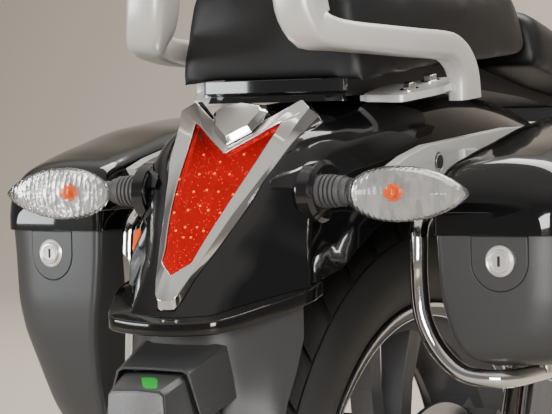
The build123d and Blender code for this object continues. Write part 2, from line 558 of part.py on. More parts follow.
BASE_TOP = [(-189.7, 460.7), (-180, 461.7), (-90, 468.7), (0, 475.7), (100, 482.7), (126, 485.2), (134, 486.3),
            (141.6, 473.7), (156, 469.7), (250, 451.7), (360, 435.7), (424, 423.7)]
with BuildPart() as seat_base:
    add(side_prism(BASE_TOP + [(424, 412), (360, 424), (250, 440), (141, 449), (60, 446.4), (-60, 446.4),
                               (-100, 445.6), (-189.7, 443)], -50, 50))
    for x in (-64, 64):
        add(side_prism([(-182, 461.4), (-90, 468.5), (0, 475.5), (100, 482.5), (100, 448), (60, 446.4), (-60, 446.4),
                        (-100, 445.6), (-182, 443.2)], min(x, x * 0.75), max(x, x * 0.75)))
    add(block(-20, 20, 54, 66, 441.8, 452))
    add(block(-80, 80, 330, 350, 412, 428))
    for x in (-72, 72):
        add(block(x - 8, x + 8, 332, 348, 373, 414))
save(seat_base, "seat_base")

with BuildPart() as seat_trim:
    rim = [(0, -204), (60, -203), (78, -197), (78, -190), (0, -190)]
    waist = [(0, -197), (56, -196), (73, -193), (75, -190), (0, -190)]
    foot = [(0, -200), (58, -199), (76, -194), (78, -190), (0, -190)]
    add(stack([[(x, y, z) for x, y in both(half)]
               for z, half in ((438.9, foot), (445.5, waist), (448.5, rim), (459.8, rim))]))
save(seat_trim, "seat_trim")

# Grab rail, cast in one piece from foot to foot
half_rail = [((145, -80, 438.5), (22, 40)), ((145, -82, 458), (22, 38)), ((144, -94, 478), (23, 32)),
             ((142, -118, 489), (26, 27)), ((135, -170, 491.5), (29, 27)), ((121, -214, 494.5), (31, 27)),
             ((104, -252, 498), (34, 28)), ((90, -272, 504), (40, 34)), ((81, -277, 528), (43, 42)),
             ((77.5, -276, 578), (43, 45)), ((68.5, -295, 618), (43, 44)), ((60, -309, 640), (40, 40)),
             ((44, -317, 655), (34, 36)), ((0, -320, 660), (32, 34))]
with BuildPart() as grab_rail:
    path, sizes = [p for p, size in half_rail], [size for p, size in half_rail]
    turn = [(1, 0, 0)] * (len(path) - 1)
    add(bar(path + sided(path[-2::-1], -1), sizes + sizes[-2::-1], 16, 5.0,
            turn + [(0, 0, 1)] + [(-1, 0, 0)] * len(turn)))
    for sign in (-1, 1):
        lug = [(x, y, 441 + (y + 131) * 0.186) for x, y in
               ((70, -150), (118, -158), (140, -120), (140, -62), (112, -66), (70, -100))]
        add(stack([[(sign * x, y, z) for x, y, z in lug], [(sign * x, y, z + 7) for x, y, z in lug]]))
        add(block(sign * 68, sign * 80, -149, -133, 438.3, 444))
save(grab_rail, "grab_rail")

# Indicators
def almond_ring(sign, y, grow):
    mid = IND_IN + 0.42 * (IND_OUT - IND_IN)
    out = []
    for k in range(28):
        t = 2 * math.pi * k / 28
        c, s = math.cos(t), math.sin(t)
        long = (IND_OUT - mid) if c > 0 else (mid - IND_IN)
        x = mid + long * (c if c < 0 else c)
        tall = IND_H / 2 * (abs(s) ** (1.0 if c < 0 else 1.45)) * (1 if s > 0 else -1)
        out.append((sign * (mid + (x - mid) * grow), y, IND_Z - 1 + tall * grow))
    return out


for sign, side_name in ((-1, "left"), (1, "right")):
    with BuildPart() as indicator_base:
        wedge = [(54, [(-312, 362), (-311, 366), (-305, 372), (-262, 372), (-262, 354), (-308, 357)]),
                 (84, [(-292, 364), (-286, 378), (-270, 388), (-250, 388), (-250, 336), (-273, 341)])]
        add(stack([[(sign * x, y, z) for y, z in section] for x, section in wedge]))
        boss = [[(sign * x, IND_Y + 24 + a * k * math.cos(t), 357 + b * k * math.sin(t))
                 for t in [math.pi / 10 * j for j in range(20)]] for x, a, b, k in
                ((84, 34, 29, 1.0), (96, 34, 29, 1.0), (99, 34, 29, 0.86))]
        add(stack(boss))
        cup = rod_x(STALK_Y, 358, 20, 82, 90)
        add(cup if sign > 0 else cup.mirror(Plane.YZ))
        cut = [[polar(x, a, r) for x, r in [(0, 200)] + [(x + 0.4, r + 0.4) for x, r in half]
                + [(half[-1][0], 200)]] for a, half in skin_rings() if 110 < a < 150]
        cut = [[(sign * p[0], p[1], p[2]) for p in r] for r in cut]
        add(stack(cut), mode=Mode.SUBTRACT)
        add(lamp_surround.part, mode=Mode.SUBTRACT)
        bore = rod_x(STALK_Y, 358, 15 + GAP, 90, 110)
        add(bore if sign > 0 else bore.mirror(Plane.YZ), mode=Mode.SUBTRACT)
    save(indicator_base, "indicator_base_" + side_name)

    with BuildPart() as indicator_stalk:
        for x0, x1, r in ((90 + GAP, 103, 15), (103, 129, 12), (105, 107.5, 15), (109.5, 112, 15), (114, 116.5, 14.5),
                          (118.5, 123, 14)):
            piece = rod_x(STALK_Y, 358, r, x0, x1)
            add(piece if sign > 0 else piece.mirror(Plane.YZ))
        piece = rod_x(IND_Y + 15, 358, 9.5, 126, 145)
        add(piece if sign > 0 else piece.mirror(Plane.YZ))
        add(stack([almond_ring(sign, IND_Y + 27, 0.55), almond_ring(sign, IND_Y + 20, 0.8),
                   almond_ring(sign, IND_Y + 4, 1.0)]))
        add(stack([almond_ring(sign, IND_Y + 24.5, 0.53), almond_ring(sign, IND_Y + 19, 0.76),
                   almond_ring(sign, IND_Y + 3, 0.955)]), mode=Mode.SUBTRACT)
        add(stack(cut), mode=Mode.SUBTRACT)
    save(indicator_stalk, "indicator_body_" + side_name)

    with BuildPart() as indicator_lens:
        add(stack([almond_ring(sign, IND_Y + 4 - GAP, 1.0), almond_ring(sign, IND_Y, 0.995),
                   almond_ring(sign, IND_Y - 9, 0.9), almond_ring(sign, IND_Y - 15, 0.68),
                   almond_ring(sign, IND_Y - 17.5, 0.36)]))
        add(stack([almond_ring(sign, IND_Y + 6, 0.95), almond_ring(sign, IND_Y, 0.94), almond_ring(sign, IND_Y - 8, 0.85),
                   almond_ring(sign, IND_Y - 13, 0.64), almond_ring(sign, IND_Y - 15.3, 0.33)]), mode=Mode.SUBTRACT)
    save(indicator_lens, "indicator_lens_" + side_name)

    with BuildPart() as indicator_bulb:
        mid = sign * 177
        add(rod((mid, IND_Y + 24.2, 357), (mid, IND_Y + 2, 357), 8))
        add(rod((mid, IND_Y + 2, 357), (mid, IND_Y - 6, 357), 5))
    save(indicator_bulb, "indicator_bulb_" + side_name)

    with BuildPart() as fender_strut:
        outline = [(-232, 378), (-205, 387), (-164, 396), (8, 409), (120, 410), (150, 400), (150, 372), (110, 366),
                   (-20, 362), (-114, 362), (-190, 364), (-226, 371)]
        add(side_prism(outline, sign * 137.3, sign * 149))
        hole = rod_x(-144, 380, 9, 145, 151)
        add(hole if sign > 0 else hole.mirror(Plane.YZ), mode=Mode.SUBTRACT)
        add(side_prism([(-118, 394), (-104, 394), (-104, 374), (-118, 374)], sign * 131.2, sign * 138))
        add(side_prism([(104, 400), (124, 400), (124, 374), (104, 374)], sign * 136.4, sign * 138))
        for y0 in (-96, 0):
            add(block(sign * 146, sign * 152, y0, y0 + 28, 286, 390))
            add(block(sign * 146, sign * (BOX_IN - GAP), y0, y0 + 28, 286, 308))
    save(fender_strut, "fender_strut_" + side_name)


# Panniers: plan outline with rounded corners, drawn in by a table of heights
def rounded(points, radii, steps=4):
    out, n = [], len(points)
    for i in range(n):
        a, b, c = points[i - 1], points[i], points[(i + 1) % n]
        la, lc = math.dist(a, b), math.dist(c, b)
        ua = ((a[0] - b[0]) / la, (a[1] - b[1]) / la)
        uc = ((c[0] - b[0]) / lc, (c[1] - b[1]) / lc)
        d = min(radii[i], 0.45 * la, 0.45 * lc)
        p, r = (b[0] + ua[0] * d, b[1] + ua[1] * d), (b[0] + uc[0] * d, b[1] + uc[1] * d)
        for k in range(steps + 1):
            t = k / steps
            out.append((p[0] * (1 - t) ** 2 + b[0] * 2 * t * (1 - t) + r[0] * t * t,
                        p[1] * (1 - t) ** 2 + b[1] * 2 * t * (1 - t) + r[1] * t * t))
    return out


def plan(inner, outer, rear, front, wall=0.0):
    """Pannier outline seen from above, drawn in by inner, outer, rear and front amounts."""
    i, o, f = inner + wall, outer + wall, front + wall
    r = rear + wall
    pts = [(BOX_IN + i, -229 + r), (286, -219.6 + r), (316 - o, -203 + r), (328 - o, -130), (336 - o, -40),
           (334 - o, 90), (316 - o, 165 - f), (282, 194 - f), (BOX_IN + i, 197 - f)]
    if pts[1][0] > 300 - o - 14:
        pts[1] = (300 - o - 14, pts[1][1])
    if pts[7][0] > 316 - o - 20:
        pts[7] = (316 - o - 20, pts[7][1])
    return rounded(pts, [9, 16, 16, 40, 40, 40, 20, 20, 9])


def latch_outline(radius, top):
    """D-shaped tab: straight sides from the seam and a round lower end."""
    arc = [(248.3 + radius * math.cos(t), 293 + radius * math.sin(t)) for t in
           [math.pi * (1 + k / 10) for k in range(11)]]
    return [(arc[0][0], top)] + arc + [(arc[-1][0], top)]


BOX = {
    "right": [(SEAM_Z, 0, 0, 0, 0), (262, 4, 1, 0, 2), (236, 10, 4, 1, 4), (216, 19, 10, 4, 9), (205, 29, 19, 9, 18),
              (198, 46, 36, 22, 34)],
    "left": [(SEAM_Z, 0, 0, 0, 0), (290, 1, 2, 0, 1), (250, 5, 4, 0, 2), (218, 10, 9, 2, 4), (197, 12, 15, 5, 7),
             (179, 13, 21, 8, 10), (153, 14, 28, 14, 16), (134, 14, 34, 19, 24), (112, 17, 44, 30, 40),
             (104, 24, 54, 42, 54)],
}
for sign, side_name in ((-1, "left"), (1, "right")):
    levels = BOX[side_name]
    with BuildPart() as pannier:
        add(stack([[(sign * x, y, z) for x, y in plan(i, o, r, f)] for z, i, o, r, f in levels]))
        inner_levels = [(SEAM_Z + 1, 0, 0, 0, 0)] + levels[1:-1] + [(levels[-1][0] + WALL,) + levels[-1][1:]]
        add(stack([[(sign * x, y, z) for x, y in plan(i, o, r, f, WALL)] for z, i, o, r, f in inner_levels]),
            mode=Mode.SUBTRACT)
        slope = 8.5 / 91
        seat_pts = [(x, -229 + (x - BOX_IN) * slope) for x in (221.2, 275.4)]
        pocket = latch_outline(27.1, 330)
        add(stack([[(sign * x, -229 + (x - BOX_IN) * slope - 4, z) for x, z in pocket],
                   [(sign * x, -229 + (x - BOX_IN) * slope + 1.8, z) for x, z in pocket]]), mode=Mode.SUBTRACT)
    save(pannier, "pannier_" + side_name)

    with BuildPart() as latch:
        tab = latch_outline(26.5, 315.4)
        add(stack([[(sign * x, -229 + (x - BOX_IN) * slope - 0.6, z) for x, z in tab],
                   [(sign * x, -229 + (x - BOX_IN) * slope + 1.5, z) for x, z in tab]]))
        face = -229 + (LOCK_X - BOX_IN) * slope
        add(rod((sign * LOCK_X, face - 0.2, LOCK_Z), (sign * LOCK_X, face - 2.5, LOCK_Z), 14))
        add(rod((sign * LOCK_X, face - 0.2, LOCK_Z), (sign * LOCK_X, face - 4.5, LOCK_Z), 11))
    save(latch, "latch_" + side_name)

    # Lid: sections along Y, a share of the crown height at each point
    shape = [(0.0, 0.0), (0.0, 0.80), (0.03, 0.91), (0.12, 0.965), (0.27, 0.99), (0.45, 1.0), (0.66, 0.97),
             (0.82, 0.88), (0.93, 0.70), (0.985, 0.46), (1.0, 0.22), (1.0, 0.0)]
    crown = [(-226, 290, 345), (-221, 301, 358), (-208, 312, 380), (-179, 320, 390), (-118, 331, 404), (-44, 336, 419),
             (63, 335, 428), (130, 325, 424), (172, 308, 404), (190, 290, 372), (196, 280, 345)]
    with BuildPart() as lid:
        base = SEAM_Z + GAP
        add(stack([[(sign * (BOX_IN + (o - BOX_IN) * a), y, base + (top - base) * b) for a, b in shape]
                   for y, o, top in crown]))
        rim = plan(0, 0, 0, 0, -2.5)
        add(stack([[(sign * x, y, z) for x, y in rim] for z in (SEAM_Z + GAP, SEAM_Z + 21)]))
        hollow = []
        for y, o, top in crown:
            y2 = min(max(y, -222.5), 192.5)
            if hollow and abs(hollow[-1][0] - y2) < 1:
                continue
            hollow.append((y2, o, top))
        add(stack([[(sign * (BOX_IN + WALL + (o - BOX_IN - 2 * WALL) * a), y, SEAM_Z - 1 + (top - SEAM_Z + 1 - WALL) * b)
                    for a, b in shape] for y, o, top in hollow]), mode=Mode.SUBTRACT)
        inner_rim = plan(0, 0, 0, 0, WALL)
        add(stack([[(sign * x, y, z) for x, y in inner_rim] for z in (SEAM_Z - 1, SEAM_Z + 14)]), mode=Mode.SUBTRACT)
    save(lid, "lid_" + side_name)

    # Chrome guard tube round the inner edge, from the strut down to a clamp below the box
    if sign > 0:
        path = [(160, -128, 352), (160, -170, 344), (160, -204, 326), (161, -211, 300), (161, -211, 269),
                (165, -211, 238), (180, -211, 210), (203, -211, 191), (231, -209, 186.5), (247, -196, 186.5),
                (250, -150, 186.5), (250, -120, 186.5)]
        foot = (239, 261, -150, -124, 186, 197.7)
    else:
        path = [(160, -128, 352), (160, -170, 344), (160, -204, 326), (161, -211, 300), (160, -211, 262),
                (161, -210, 225), (166, -206, 180), (176, -198, 135), (192, -188, 100), (216, -172, 92.5),
                (226, -150, 92.5), (226, -100, 92.5)]
        foot = (215, 237, -130, -104, 92, 103.7)
    with BuildPart() as guard_tube:
        add(bar([(sign * x, y, z) for x, y, z in path], (2 * GUARD_R, 2 * GUARD_R), 14))
        add(block(sign * foot[0], sign * foot[1], *foot[2:]))
        add(side_prism([(-134, 361.7), (-116, 361.7), (-116, 340), (-134, 340)], sign * 152, sign * 168))
    save(guard_tube, "guard_tube_" + side_name)
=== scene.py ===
import bmesh
import bpy
import json
from math import atan2, copysign, cos, dist, hypot, pi, radians, sin, sqrt
from mathutils import Matrix, Vector

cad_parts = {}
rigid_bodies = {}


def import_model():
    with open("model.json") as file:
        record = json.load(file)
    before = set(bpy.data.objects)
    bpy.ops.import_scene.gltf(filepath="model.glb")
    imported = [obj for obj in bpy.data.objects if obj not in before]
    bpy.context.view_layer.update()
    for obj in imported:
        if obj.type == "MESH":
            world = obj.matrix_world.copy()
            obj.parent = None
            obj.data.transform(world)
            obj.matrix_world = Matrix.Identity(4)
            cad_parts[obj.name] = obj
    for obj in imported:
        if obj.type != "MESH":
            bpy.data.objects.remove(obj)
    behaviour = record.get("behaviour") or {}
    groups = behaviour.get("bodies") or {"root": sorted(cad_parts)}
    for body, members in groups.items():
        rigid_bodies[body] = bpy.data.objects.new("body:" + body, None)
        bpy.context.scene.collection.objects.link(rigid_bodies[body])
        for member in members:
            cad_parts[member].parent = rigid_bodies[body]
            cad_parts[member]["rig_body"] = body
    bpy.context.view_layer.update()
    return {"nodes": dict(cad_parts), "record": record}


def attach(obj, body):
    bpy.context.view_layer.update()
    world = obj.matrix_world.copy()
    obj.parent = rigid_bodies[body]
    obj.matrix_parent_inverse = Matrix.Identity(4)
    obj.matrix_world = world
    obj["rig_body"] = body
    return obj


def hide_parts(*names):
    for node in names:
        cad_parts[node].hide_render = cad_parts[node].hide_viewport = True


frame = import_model()
NODES = frame["nodes"]
NODE_SLOT = {s["node"]: s["material_slot"] for s in frame["record"]["subparts"]}
SIDES = ((-1, "left"), (1, "right"))
DONE = set()
MOUNT_Y, MOUNT_Z = 430.0, 335.0
TURNED_STEPS = 144

# Lamp plane: foot of its slope, the slope's cosine and sine, and the facing below which a face is its back
LAMP_Y, LAMP_Z = -378.0, 291.0
LAMP_RUN, LAMP_RISE = 119.0, 129.0
LAMP_C, LAMP_S = (d / hypot(LAMP_RUN, LAMP_RISE) for d in (LAMP_RUN, LAMP_RISE))
LAMP_BACK = -0.3


def at(x, y, z):
    """Point in millimetres from the wheel axle, as part.py draws it, to metres from the mount."""
    return Vector((x / 1000, (y - MOUNT_Y) / 1000, (z - MOUNT_Z) / 1000))


def lamp(x, v, n=0.0):
    """Point at x across the lamp plane, v up its slope and n out of it, in part.py's millimetres."""
    return (x, LAMP_Y + v * LAMP_C - n * LAMP_S, LAMP_Z + v * LAMP_S + n * LAMP_C)


def evenly(start, end, steps):
    return [start + (end - start) * k / steps for k in range(steps + 1)]


def round_angles(count):
    return [2 * pi * k / count for k in range(count)]


# Node trees

def feed(tree, made, inputs):
    """Set a node's inputs: each takes a value, another node's output, or a node, for its first output."""
    for key, value in inputs.items():
        if isinstance(value, bpy.types.Node):
            value = value.outputs[0]
        if isinstance(value, bpy.types.NodeSocket):
            tree.links.new(value, made.inputs[key])
        else:
            made.inputs[key].default_value = value
    return made


def node(tree, kind, inputs=None, **settings):
    """New node with its settings, then its inputs."""
    made = tree.nodes.new(kind)
    for key, value in settings.items():
        setattr(made, key, value)
    return feed(tree, made, inputs or {})


def maths(tree, operation, *values, **settings):
    return node(tree, "ShaderNodeMath", dict(enumerate(values)), operation=operation, **settings)


def object_place(tree):
    return node(tree, "ShaderNodeTexCoord").outputs["Object"]


def face_normal(tree):
    return node(tree, "ShaderNodeNewGeometry").outputs["Normal"]


def new_group(name, inputs, outputs):
    """Shader group with its sockets: the tree, what it is given and its output node."""
    tree = bpy.data.node_groups.new(name, "ShaderNodeTree")
    for label, kind, value in inputs:
        socket = tree.interface.new_socket(label, in_out="INPUT", socket_type="NodeSocket" + kind)
        if value is not None:
            socket.default_value = value
    for label, kind in outputs:
        tree.interface.new_socket(label, in_out="OUTPUT", socket_type="NodeSocket" + kind)
    return tree, tree.nodes.new("NodeGroupInput").outputs, tree.nodes.new("NodeGroupOutput")


# Shader groups shared by the finishes

def grain_group():
    """Fine moulded or cast grain: a bump normal and a small roughness change."""
    tree, given, result = new_group("surface_grain", [
        ("Vector", "Vector", None), ("Normal", "Vector", None), ("Size", "Float", 400.0), ("Depth", "Float", 0.2),
        ("Roughness", "Float", 0.4), ("Spread", "Float", 0.08)], [("Normal", "Vector"), ("Roughness", "Float")])
    noise = node(tree, "ShaderNodeTexNoise", {"Vector": given["Vector"], "Scale": given["Size"], "Detail": 3.0})
    bump = node(tree, "ShaderNodeBump", {"Height": noise, "Strength": given["Depth"], "Distance": 0.0004,
                                         "Normal": given["Normal"]})
    cloud = node(tree, "ShaderNodeTexNoise", {"Vector": given["Vector"], "Scale": 14.0, "Detail": 4.0})
    centred = maths(tree, "SUBTRACT", cloud, 0.5)
    feed(tree, result, {"Normal": bump,
                        "Roughness": maths(tree, "MULTIPLY_ADD", centred, given["Spread"], given["Roughness"])})
    return tree


def dust_group():
    """Thin dust on faces that look up, and faint scuffing all over."""
    tree, given, result = new_group("dust_and_scuffs", [
        ("Vector", "Vector", None), ("Facing", "Vector", None), ("Color", "Color", (0.1, 0.1, 0.1, 1)),
        ("Dust", "Color", (0.32, 0.3, 0.27, 1)), ("Amount", "Float", 0.1)], [("Color", "Color")])
    noise = node(tree, "ShaderNodeTexNoise", {"Vector": given["Vector"], "Scale": 30.0, "Detail": 6.0})
    facing = node(tree, "ShaderNodeSeparateXYZ", {0: given["Facing"]})
    upward = maths(tree, "MAXIMUM", facing.outputs["Z"], 0.12)
    patchy = maths(tree, "MULTIPLY", upward, noise)
    share = maths(tree, "MULTIPLY", patchy, given["Amount"], use_clamp=True)
    mix = node(tree, "ShaderNodeMix", data_type="RGBA")
    factor, clean, covered, mixed = 0, 6, 7, 2
    feed(tree, mix, {factor: share, clean: given["Color"], covered: given["Dust"]})
    feed(tree, result, {"Color": mix.outputs[mixed]})
    return tree


GRAIN, DUST = grain_group(), dust_group()


def new_material(name):
    material = bpy.data.materials.new(name)
    material.use_nodes = True
    return material


def shader_of(material):
    return material.node_tree, material.node_tree.nodes["Principled BSDF"]


def finish_of(name, color, rough, metal=0.0, coat=0.0, coat_rough=0.03, size=400.0, depth=0.1, spread=0.06,
              dust=0.04, edge=0.0006, specular=0.5):
    """A solid finish: Principled shader with the shared grain, dust and a rounded-edge normal."""
    material = new_material(name)
    tree, shader = shader_of(material)
    place = object_place(tree)
    bevel = node(tree, "ShaderNodeBevel", {"Radius": edge}, samples=4)
    grain = node(tree, "ShaderNodeGroup", node_tree=GRAIN)
    feed(tree, grain, {"Vector": place, "Normal": bevel, "Size": size, "Depth": depth,
                       "Roughness": rough, "Spread": spread})
    dusty = node(tree, "ShaderNodeGroup", node_tree=DUST)
    feed(tree, dusty, {"Vector": place, "Facing": face_normal(tree), "Color": (*color, 1), "Amount": dust})
    feed(tree, shader, {"Metallic": metal, "Coat Weight": coat, "Coat Roughness": coat_rough,
                        "Specular IOR Level": specular, "Normal": grain.outputs["Normal"],
                        "Roughness": grain.outputs["Roughness"], "Base Color": dusty})
    return material


def glowing(material, color, strength):
    """Give a material its own light; strength is a value or a node."""
    tree, shader = shader_of(material)
    feed(tree, shader, {"Emission Color": (*color, 1), "Emission Strength": strength})
    return material


def sparkling(material, color, low, high, size, dark_from, dark_to):
    """Lit reflector: the glow is the lamp's light, its small bright cells are painted glints, the glow fades between
    two heights and the back stays dark.
    """
    tree = material.node_tree
    place = object_place(tree)
    # Small bright cells: painted glints on top of the lamp's glow.
    cells = node(tree, "ShaderNodeTexVoronoi", {"Vector": place, "Scale": size})
    painted_glints = node(tree, "ShaderNodeMapRange", {"Value": cells.outputs["Distance"], "From Min": 0.10,
                                              "From Max": 0.26, "To Min": high, "To Max": low})
    axes = node(tree, "ShaderNodeSeparateXYZ", {0: place})
    fade = node(tree, "ShaderNodeMapRange", {"Value": axes.outputs["Z"], "From Min": dark_from,
                                             "From Max": dark_to, "To Min": 1.0, "To Max": 0.04})
    facing = node(tree, "ShaderNodeVectorMath", {0: face_normal(tree), 1: (0.0, -LAMP_S, LAMP_C)},
                  operation="DOT_PRODUCT")
    not_back = maths(tree, "GREATER_THAN", facing.outputs["Value"], LAMP_BACK)
    glow = maths(tree, "MULTIPLY", painted_glints, fade)
    return glowing(material, color, maths(tree, "MULTIPLY", glow, not_back))


def fluted(material, size, strength, dark):
    """Facets moulded in a reflector: each is a bump, and each is painted a shade of its own, down to dark, as painted
    reflection.
    """
    tree, shader = shader_of(material)
    normal, color = (shader.inputs[key].links[0].from_socket for key in ("Normal", "Base Color"))
    stretch = node(tree, "ShaderNodeMapping", {"Vector": object_place(tree), "Scale": (1.0, 1.0, 0.35)})
    cells = node(tree, "ShaderNodeTexVoronoi", {"Vector": stretch, "Scale": size})
    bump = node(tree, "ShaderNodeBump", {"Height": cells.outputs["Distance"], "Strength": strength,
                                         "Distance": 0.004, "Normal": normal})
    # Painted reflection: each facet's colour is scaled to a lighter or darker shade.
    shade = node(tree, "ShaderNodeMapRange", {"Value": cells.outputs["Color"], "To Min": dark, "To Max": 1.0})
    painted_facet_shades = node(tree, "ShaderNodeVectorMath", {0: color, "Scale": shade}, operation="SCALE")
    feed(tree, shader, {"Normal": bump, "Base Color": painted_facet_shades})
    return material


def clear_of(name, color, ior, rib=0.0, rib_size=60.0):
    """Clear moulded plastic; rib adds the flutes that are moulded in its back."""
    material = new_material(name)
    tree, shader = shader_of(material)
    place = object_place(tree)
    grain = node(tree, "ShaderNodeGroup", node_tree=GRAIN)
    feed(tree, grain, {"Vector": place, "Normal": face_normal(tree), "Size": 120.0, "Depth": 0.02,
                       "Roughness": 0.03, "Spread": 0.02})
    normal = grain.outputs["Normal"]
    if rib:
        wave = node(tree, "ShaderNodeTexWave", {"Vector": place, "Scale": rib_size}, bands_direction="X",
                    wave_profile="TRI")
        normal = node(tree, "ShaderNodeBump", {"Height": wave.outputs["Fac"], "Strength": rib, "Distance": 0.002,
                                               "Normal": normal})
    feed(tree, shader, {"Transmission Weight": 1.0, "IOR": ior, "Base Color": (*color, 1),
                        "Roughness": grain.outputs["Roughness"], "Normal": normal})
    return material


# Finish of each material slot: colour and roughness, then what differs from the usual
FINISH = {
    "gloss_black": finish_of("gloss_black_paint", (0.004, 0.004, 0.0045), 0.12, specular=0.2, coat=0.8,
                             coat_rough=0.01, size=900, depth=0.01, spread=0.03, dust=0.008),
    "gloss_trim": finish_of("gloss_black_trim", (0.007, 0.007, 0.008), 0.1, coat=0.6, size=700, depth=0.02, dust=0.01),
    "frame_black": finish_of("frame_black", (0.014, 0.014, 0.015), 0.32, coat=0.3, size=500, depth=0.08, dust=0.05),
    "dark_metal": finish_of("wheel_dark_grey", (0.13, 0.131, 0.138), 0.36, metal=0.5, size=600, dust=0.06),
    "chrome": finish_of("bright_chrome", (0.80, 0.79, 0.78), 0.05, metal=1.0, size=300, depth=0.004, spread=0.03,
                        dust=0.01, edge=0.0009),
    "bright_steel": finish_of("brushed_steel", (0.55, 0.55, 0.56), 0.3, metal=1.0, size=500, depth=0.05, dust=0.03),
    "cast_silver": finish_of("cast_silver", (0.66, 0.65, 0.63), 0.36, metal=0.35, coat=0.25, coat_rough=0.3, size=900,
                             dust=0.0, edge=0.0015),
    "vinyl": finish_of("seat_vinyl", (0.013, 0.013, 0.014), 0.42, specular=0.3, size=1500, depth=0.35, spread=0.1,
                       dust=0.03),
    "box_plastic": finish_of("pannier_plastic", (0.042, 0.043, 0.045), 0.36, size=1800, depth=0.12, spread=0.05,
                             dust=0.03, edge=0.0012),
    "dark_plastic": finish_of("dark_plastic", (0.04, 0.041, 0.043), 0.34, size=1600, depth=0.2, dust=0.05),
    "satin_black": finish_of("satin_black_plastic", (0.014, 0.014, 0.015), 0.45, size=1200, depth=0.2, dust=0.05),
    "grey_plastic": finish_of("textured_grey", (0.16, 0.16, 0.165), 0.32, size=900, depth=0.9, dust=0.05),
    "rubber": finish_of("boot_rubber", (0.075, 0.075, 0.078), 0.5, size=1200, depth=0.15, dust=0.05),
    "tyre": finish_of("tyre_rubber", (0.028, 0.028, 0.029), 0.55, size=1400, depth=0.3, dust=0.12),
    "amber": glowing(finish_of("amber_glass", (0.9, 0.10, 0.0), 0.2, coat=0.3, size=300, depth=0.02, dust=0.0),
                     (1.0, 0.13, 0.0), 0.16),
    "reflector": sparkling(finish_of("red_reflector", (0.3, 0.0, 0.008), 0.25, metal=0.6, size=160, depth=1.0,
                                     dust=0.0), (1.0, 0.0, 0.035), 0.36, 1.6, 260.0, at(0, 0, 376).z, at(0, 0, 412).z),
    "red_lens": clear_of("red_lens", (1.0, 0.0, 0.03), 1.2),
    "clear_lens": clear_of("clear_lens", (0.98, 0.99, 0.99), 1.3, rib=0.12)}

# Finishes of single pieces
NICKEL = finish_of("lock_nickel", (0.88, 0.87, 0.84), 0.28, metal=0.7, coat=0.5, size=500, depth=0.01, dust=0.0)
RIM_METAL = finish_of("machined_rim", (0.66, 0.66, 0.67), 0.22, metal=1.0, size=700, depth=0.04, dust=0.03)
GREEN_LABEL = finish_of("green_marking", (0.0, 0.36, 0.03), 0.4, size=1400, depth=0.05, dust=0.0)
SHADOW_GAP = finish_of("shadow_gap", (0.003, 0.003, 0.003), 0.6, size=900, depth=0.05, dust=0.0)
LED = glowing(finish_of("lit_diode", (1.0, 0.22, 0.0), 0.3, size=900, depth=0.02, dust=0.0), (1.0, 0.24, 0.0), 0.75)
# Indicator bowl: its whitish glow is a painted reflection, and its facets carry painted shades.
BOWL_CHROME = fluted(glowing(finish_of("reflector_chrome", (0.95, 0.93, 0.90), 0.12, metal=0.7, size=260, depth=0.3,
                                       dust=0.0), (1.0, 0.97, 0.92), 0.13), 200.0, 0.08, 0.4)


# Meshes and pieces

def mesh_of(bm):
    """Mesh made from a bmesh, which is freed."""
    mesh = bpy.data.meshes.new("made")
    bm.to_mesh(mesh)
    bm.free()
    return mesh


def placed(name, data):
    """Object linked into the scene."""
    made = bpy.data.objects.new(name, data)
    bpy.context.scene.collection.objects.link(made)
    return made


def all_smooth(mesh):
    mesh.polygons.foreach_set("use_smooth", [True] * len(mesh.polygons))


def rounding(piece, width, angle, segments=2):
    mod = piece.modifiers.new("rounded_edges", "BEVEL")
    mod.width = width / 1000
    mod.segments = segments
    mod.limit_method = "ANGLE"
    mod.angle_limit = radians(angle)
    mod.harden_normals = True
    mod.use_clamp_overlap = True


def add_piece(name, mesh, node_name, finish=None, angle=None, bevel=0.0, segments=2, stands=True):
    """Piece on a CAD node's body, which stands for the node or only adds to it.

    angle is where its shading breaks. A mesh that Geometry Nodes painted keeps its finish.
    """
    if angle:
        all_smooth(mesh)
        mesh.set_sharp_from_angle(angle=radians(angle))
    body, slot, replaces = NODES[node_name]["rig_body"], NODE_SLOT[node_name], (node_name,) if stands else ()
    if not any(mesh.materials):
        mesh.materials.clear()
        mesh.materials.append(finish or FINISH[slot])
    mesh.name = name
    piece = placed(name, mesh)
    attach(piece, body)
    if replaces:
        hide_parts(*replaces)
    if bevel:
        rounding(piece, bevel, angle, segments)
    DONE.update(replaces)
    return piece


def merged(node_name, flat=0.6):
    """Copy of a CAD node's mesh with its seams closed, and flat faces joined."""
    bm = bmesh.new()
    bm.from_mesh(NODES[node_name].data)
    bmesh.ops.remove_doubles(bm, verts=bm.verts, dist=2e-6)
    if flat:
        bmesh.ops.dissolve_limit(bm, angle_limit=radians(flat), verts=bm.verts, edges=bm.edges)
    mesh = mesh_of(bm)
    mesh.materials.clear()
    return mesh


def dressed(node_name, bevel, finish=None, segments=2):
    """A merged copy of a CAD node with its edges rounded, which stands for the node."""
    add_piece(node_name + "_finished", merged(node_name), node_name, finish, 32, bevel, segments)


# Lofts and outlines

def eased(points, radii, steps=4, closed=False):
    """Outline with each corner rounded; radii has one value a point."""
    out, n = [], len(points)
    for i, b in enumerate(points):
        if not closed and i in (0, n - 1):
            out.append(tuple(b))
            continue
        a, c = points[i - 1], points[(i + 1) % n]
        la, lc = dist(a, b), dist(c, b)
        d = min(radii[i], 0.45 * la, 0.45 * lc)
        axes = range(len(b))
        p = [b[k] + (a[k] - b[k]) * d / la for k in axes]
        r = [b[k] + (c[k] - b[k]) * d / lc for k in axes]
        for k in range(steps + 1):
            t = k / steps
            out.append(tuple(p[j] * (1 - t) ** 2 + b[j] * 2 * t * (1 - t) + r[j] * t * t for j in axes))
    return out


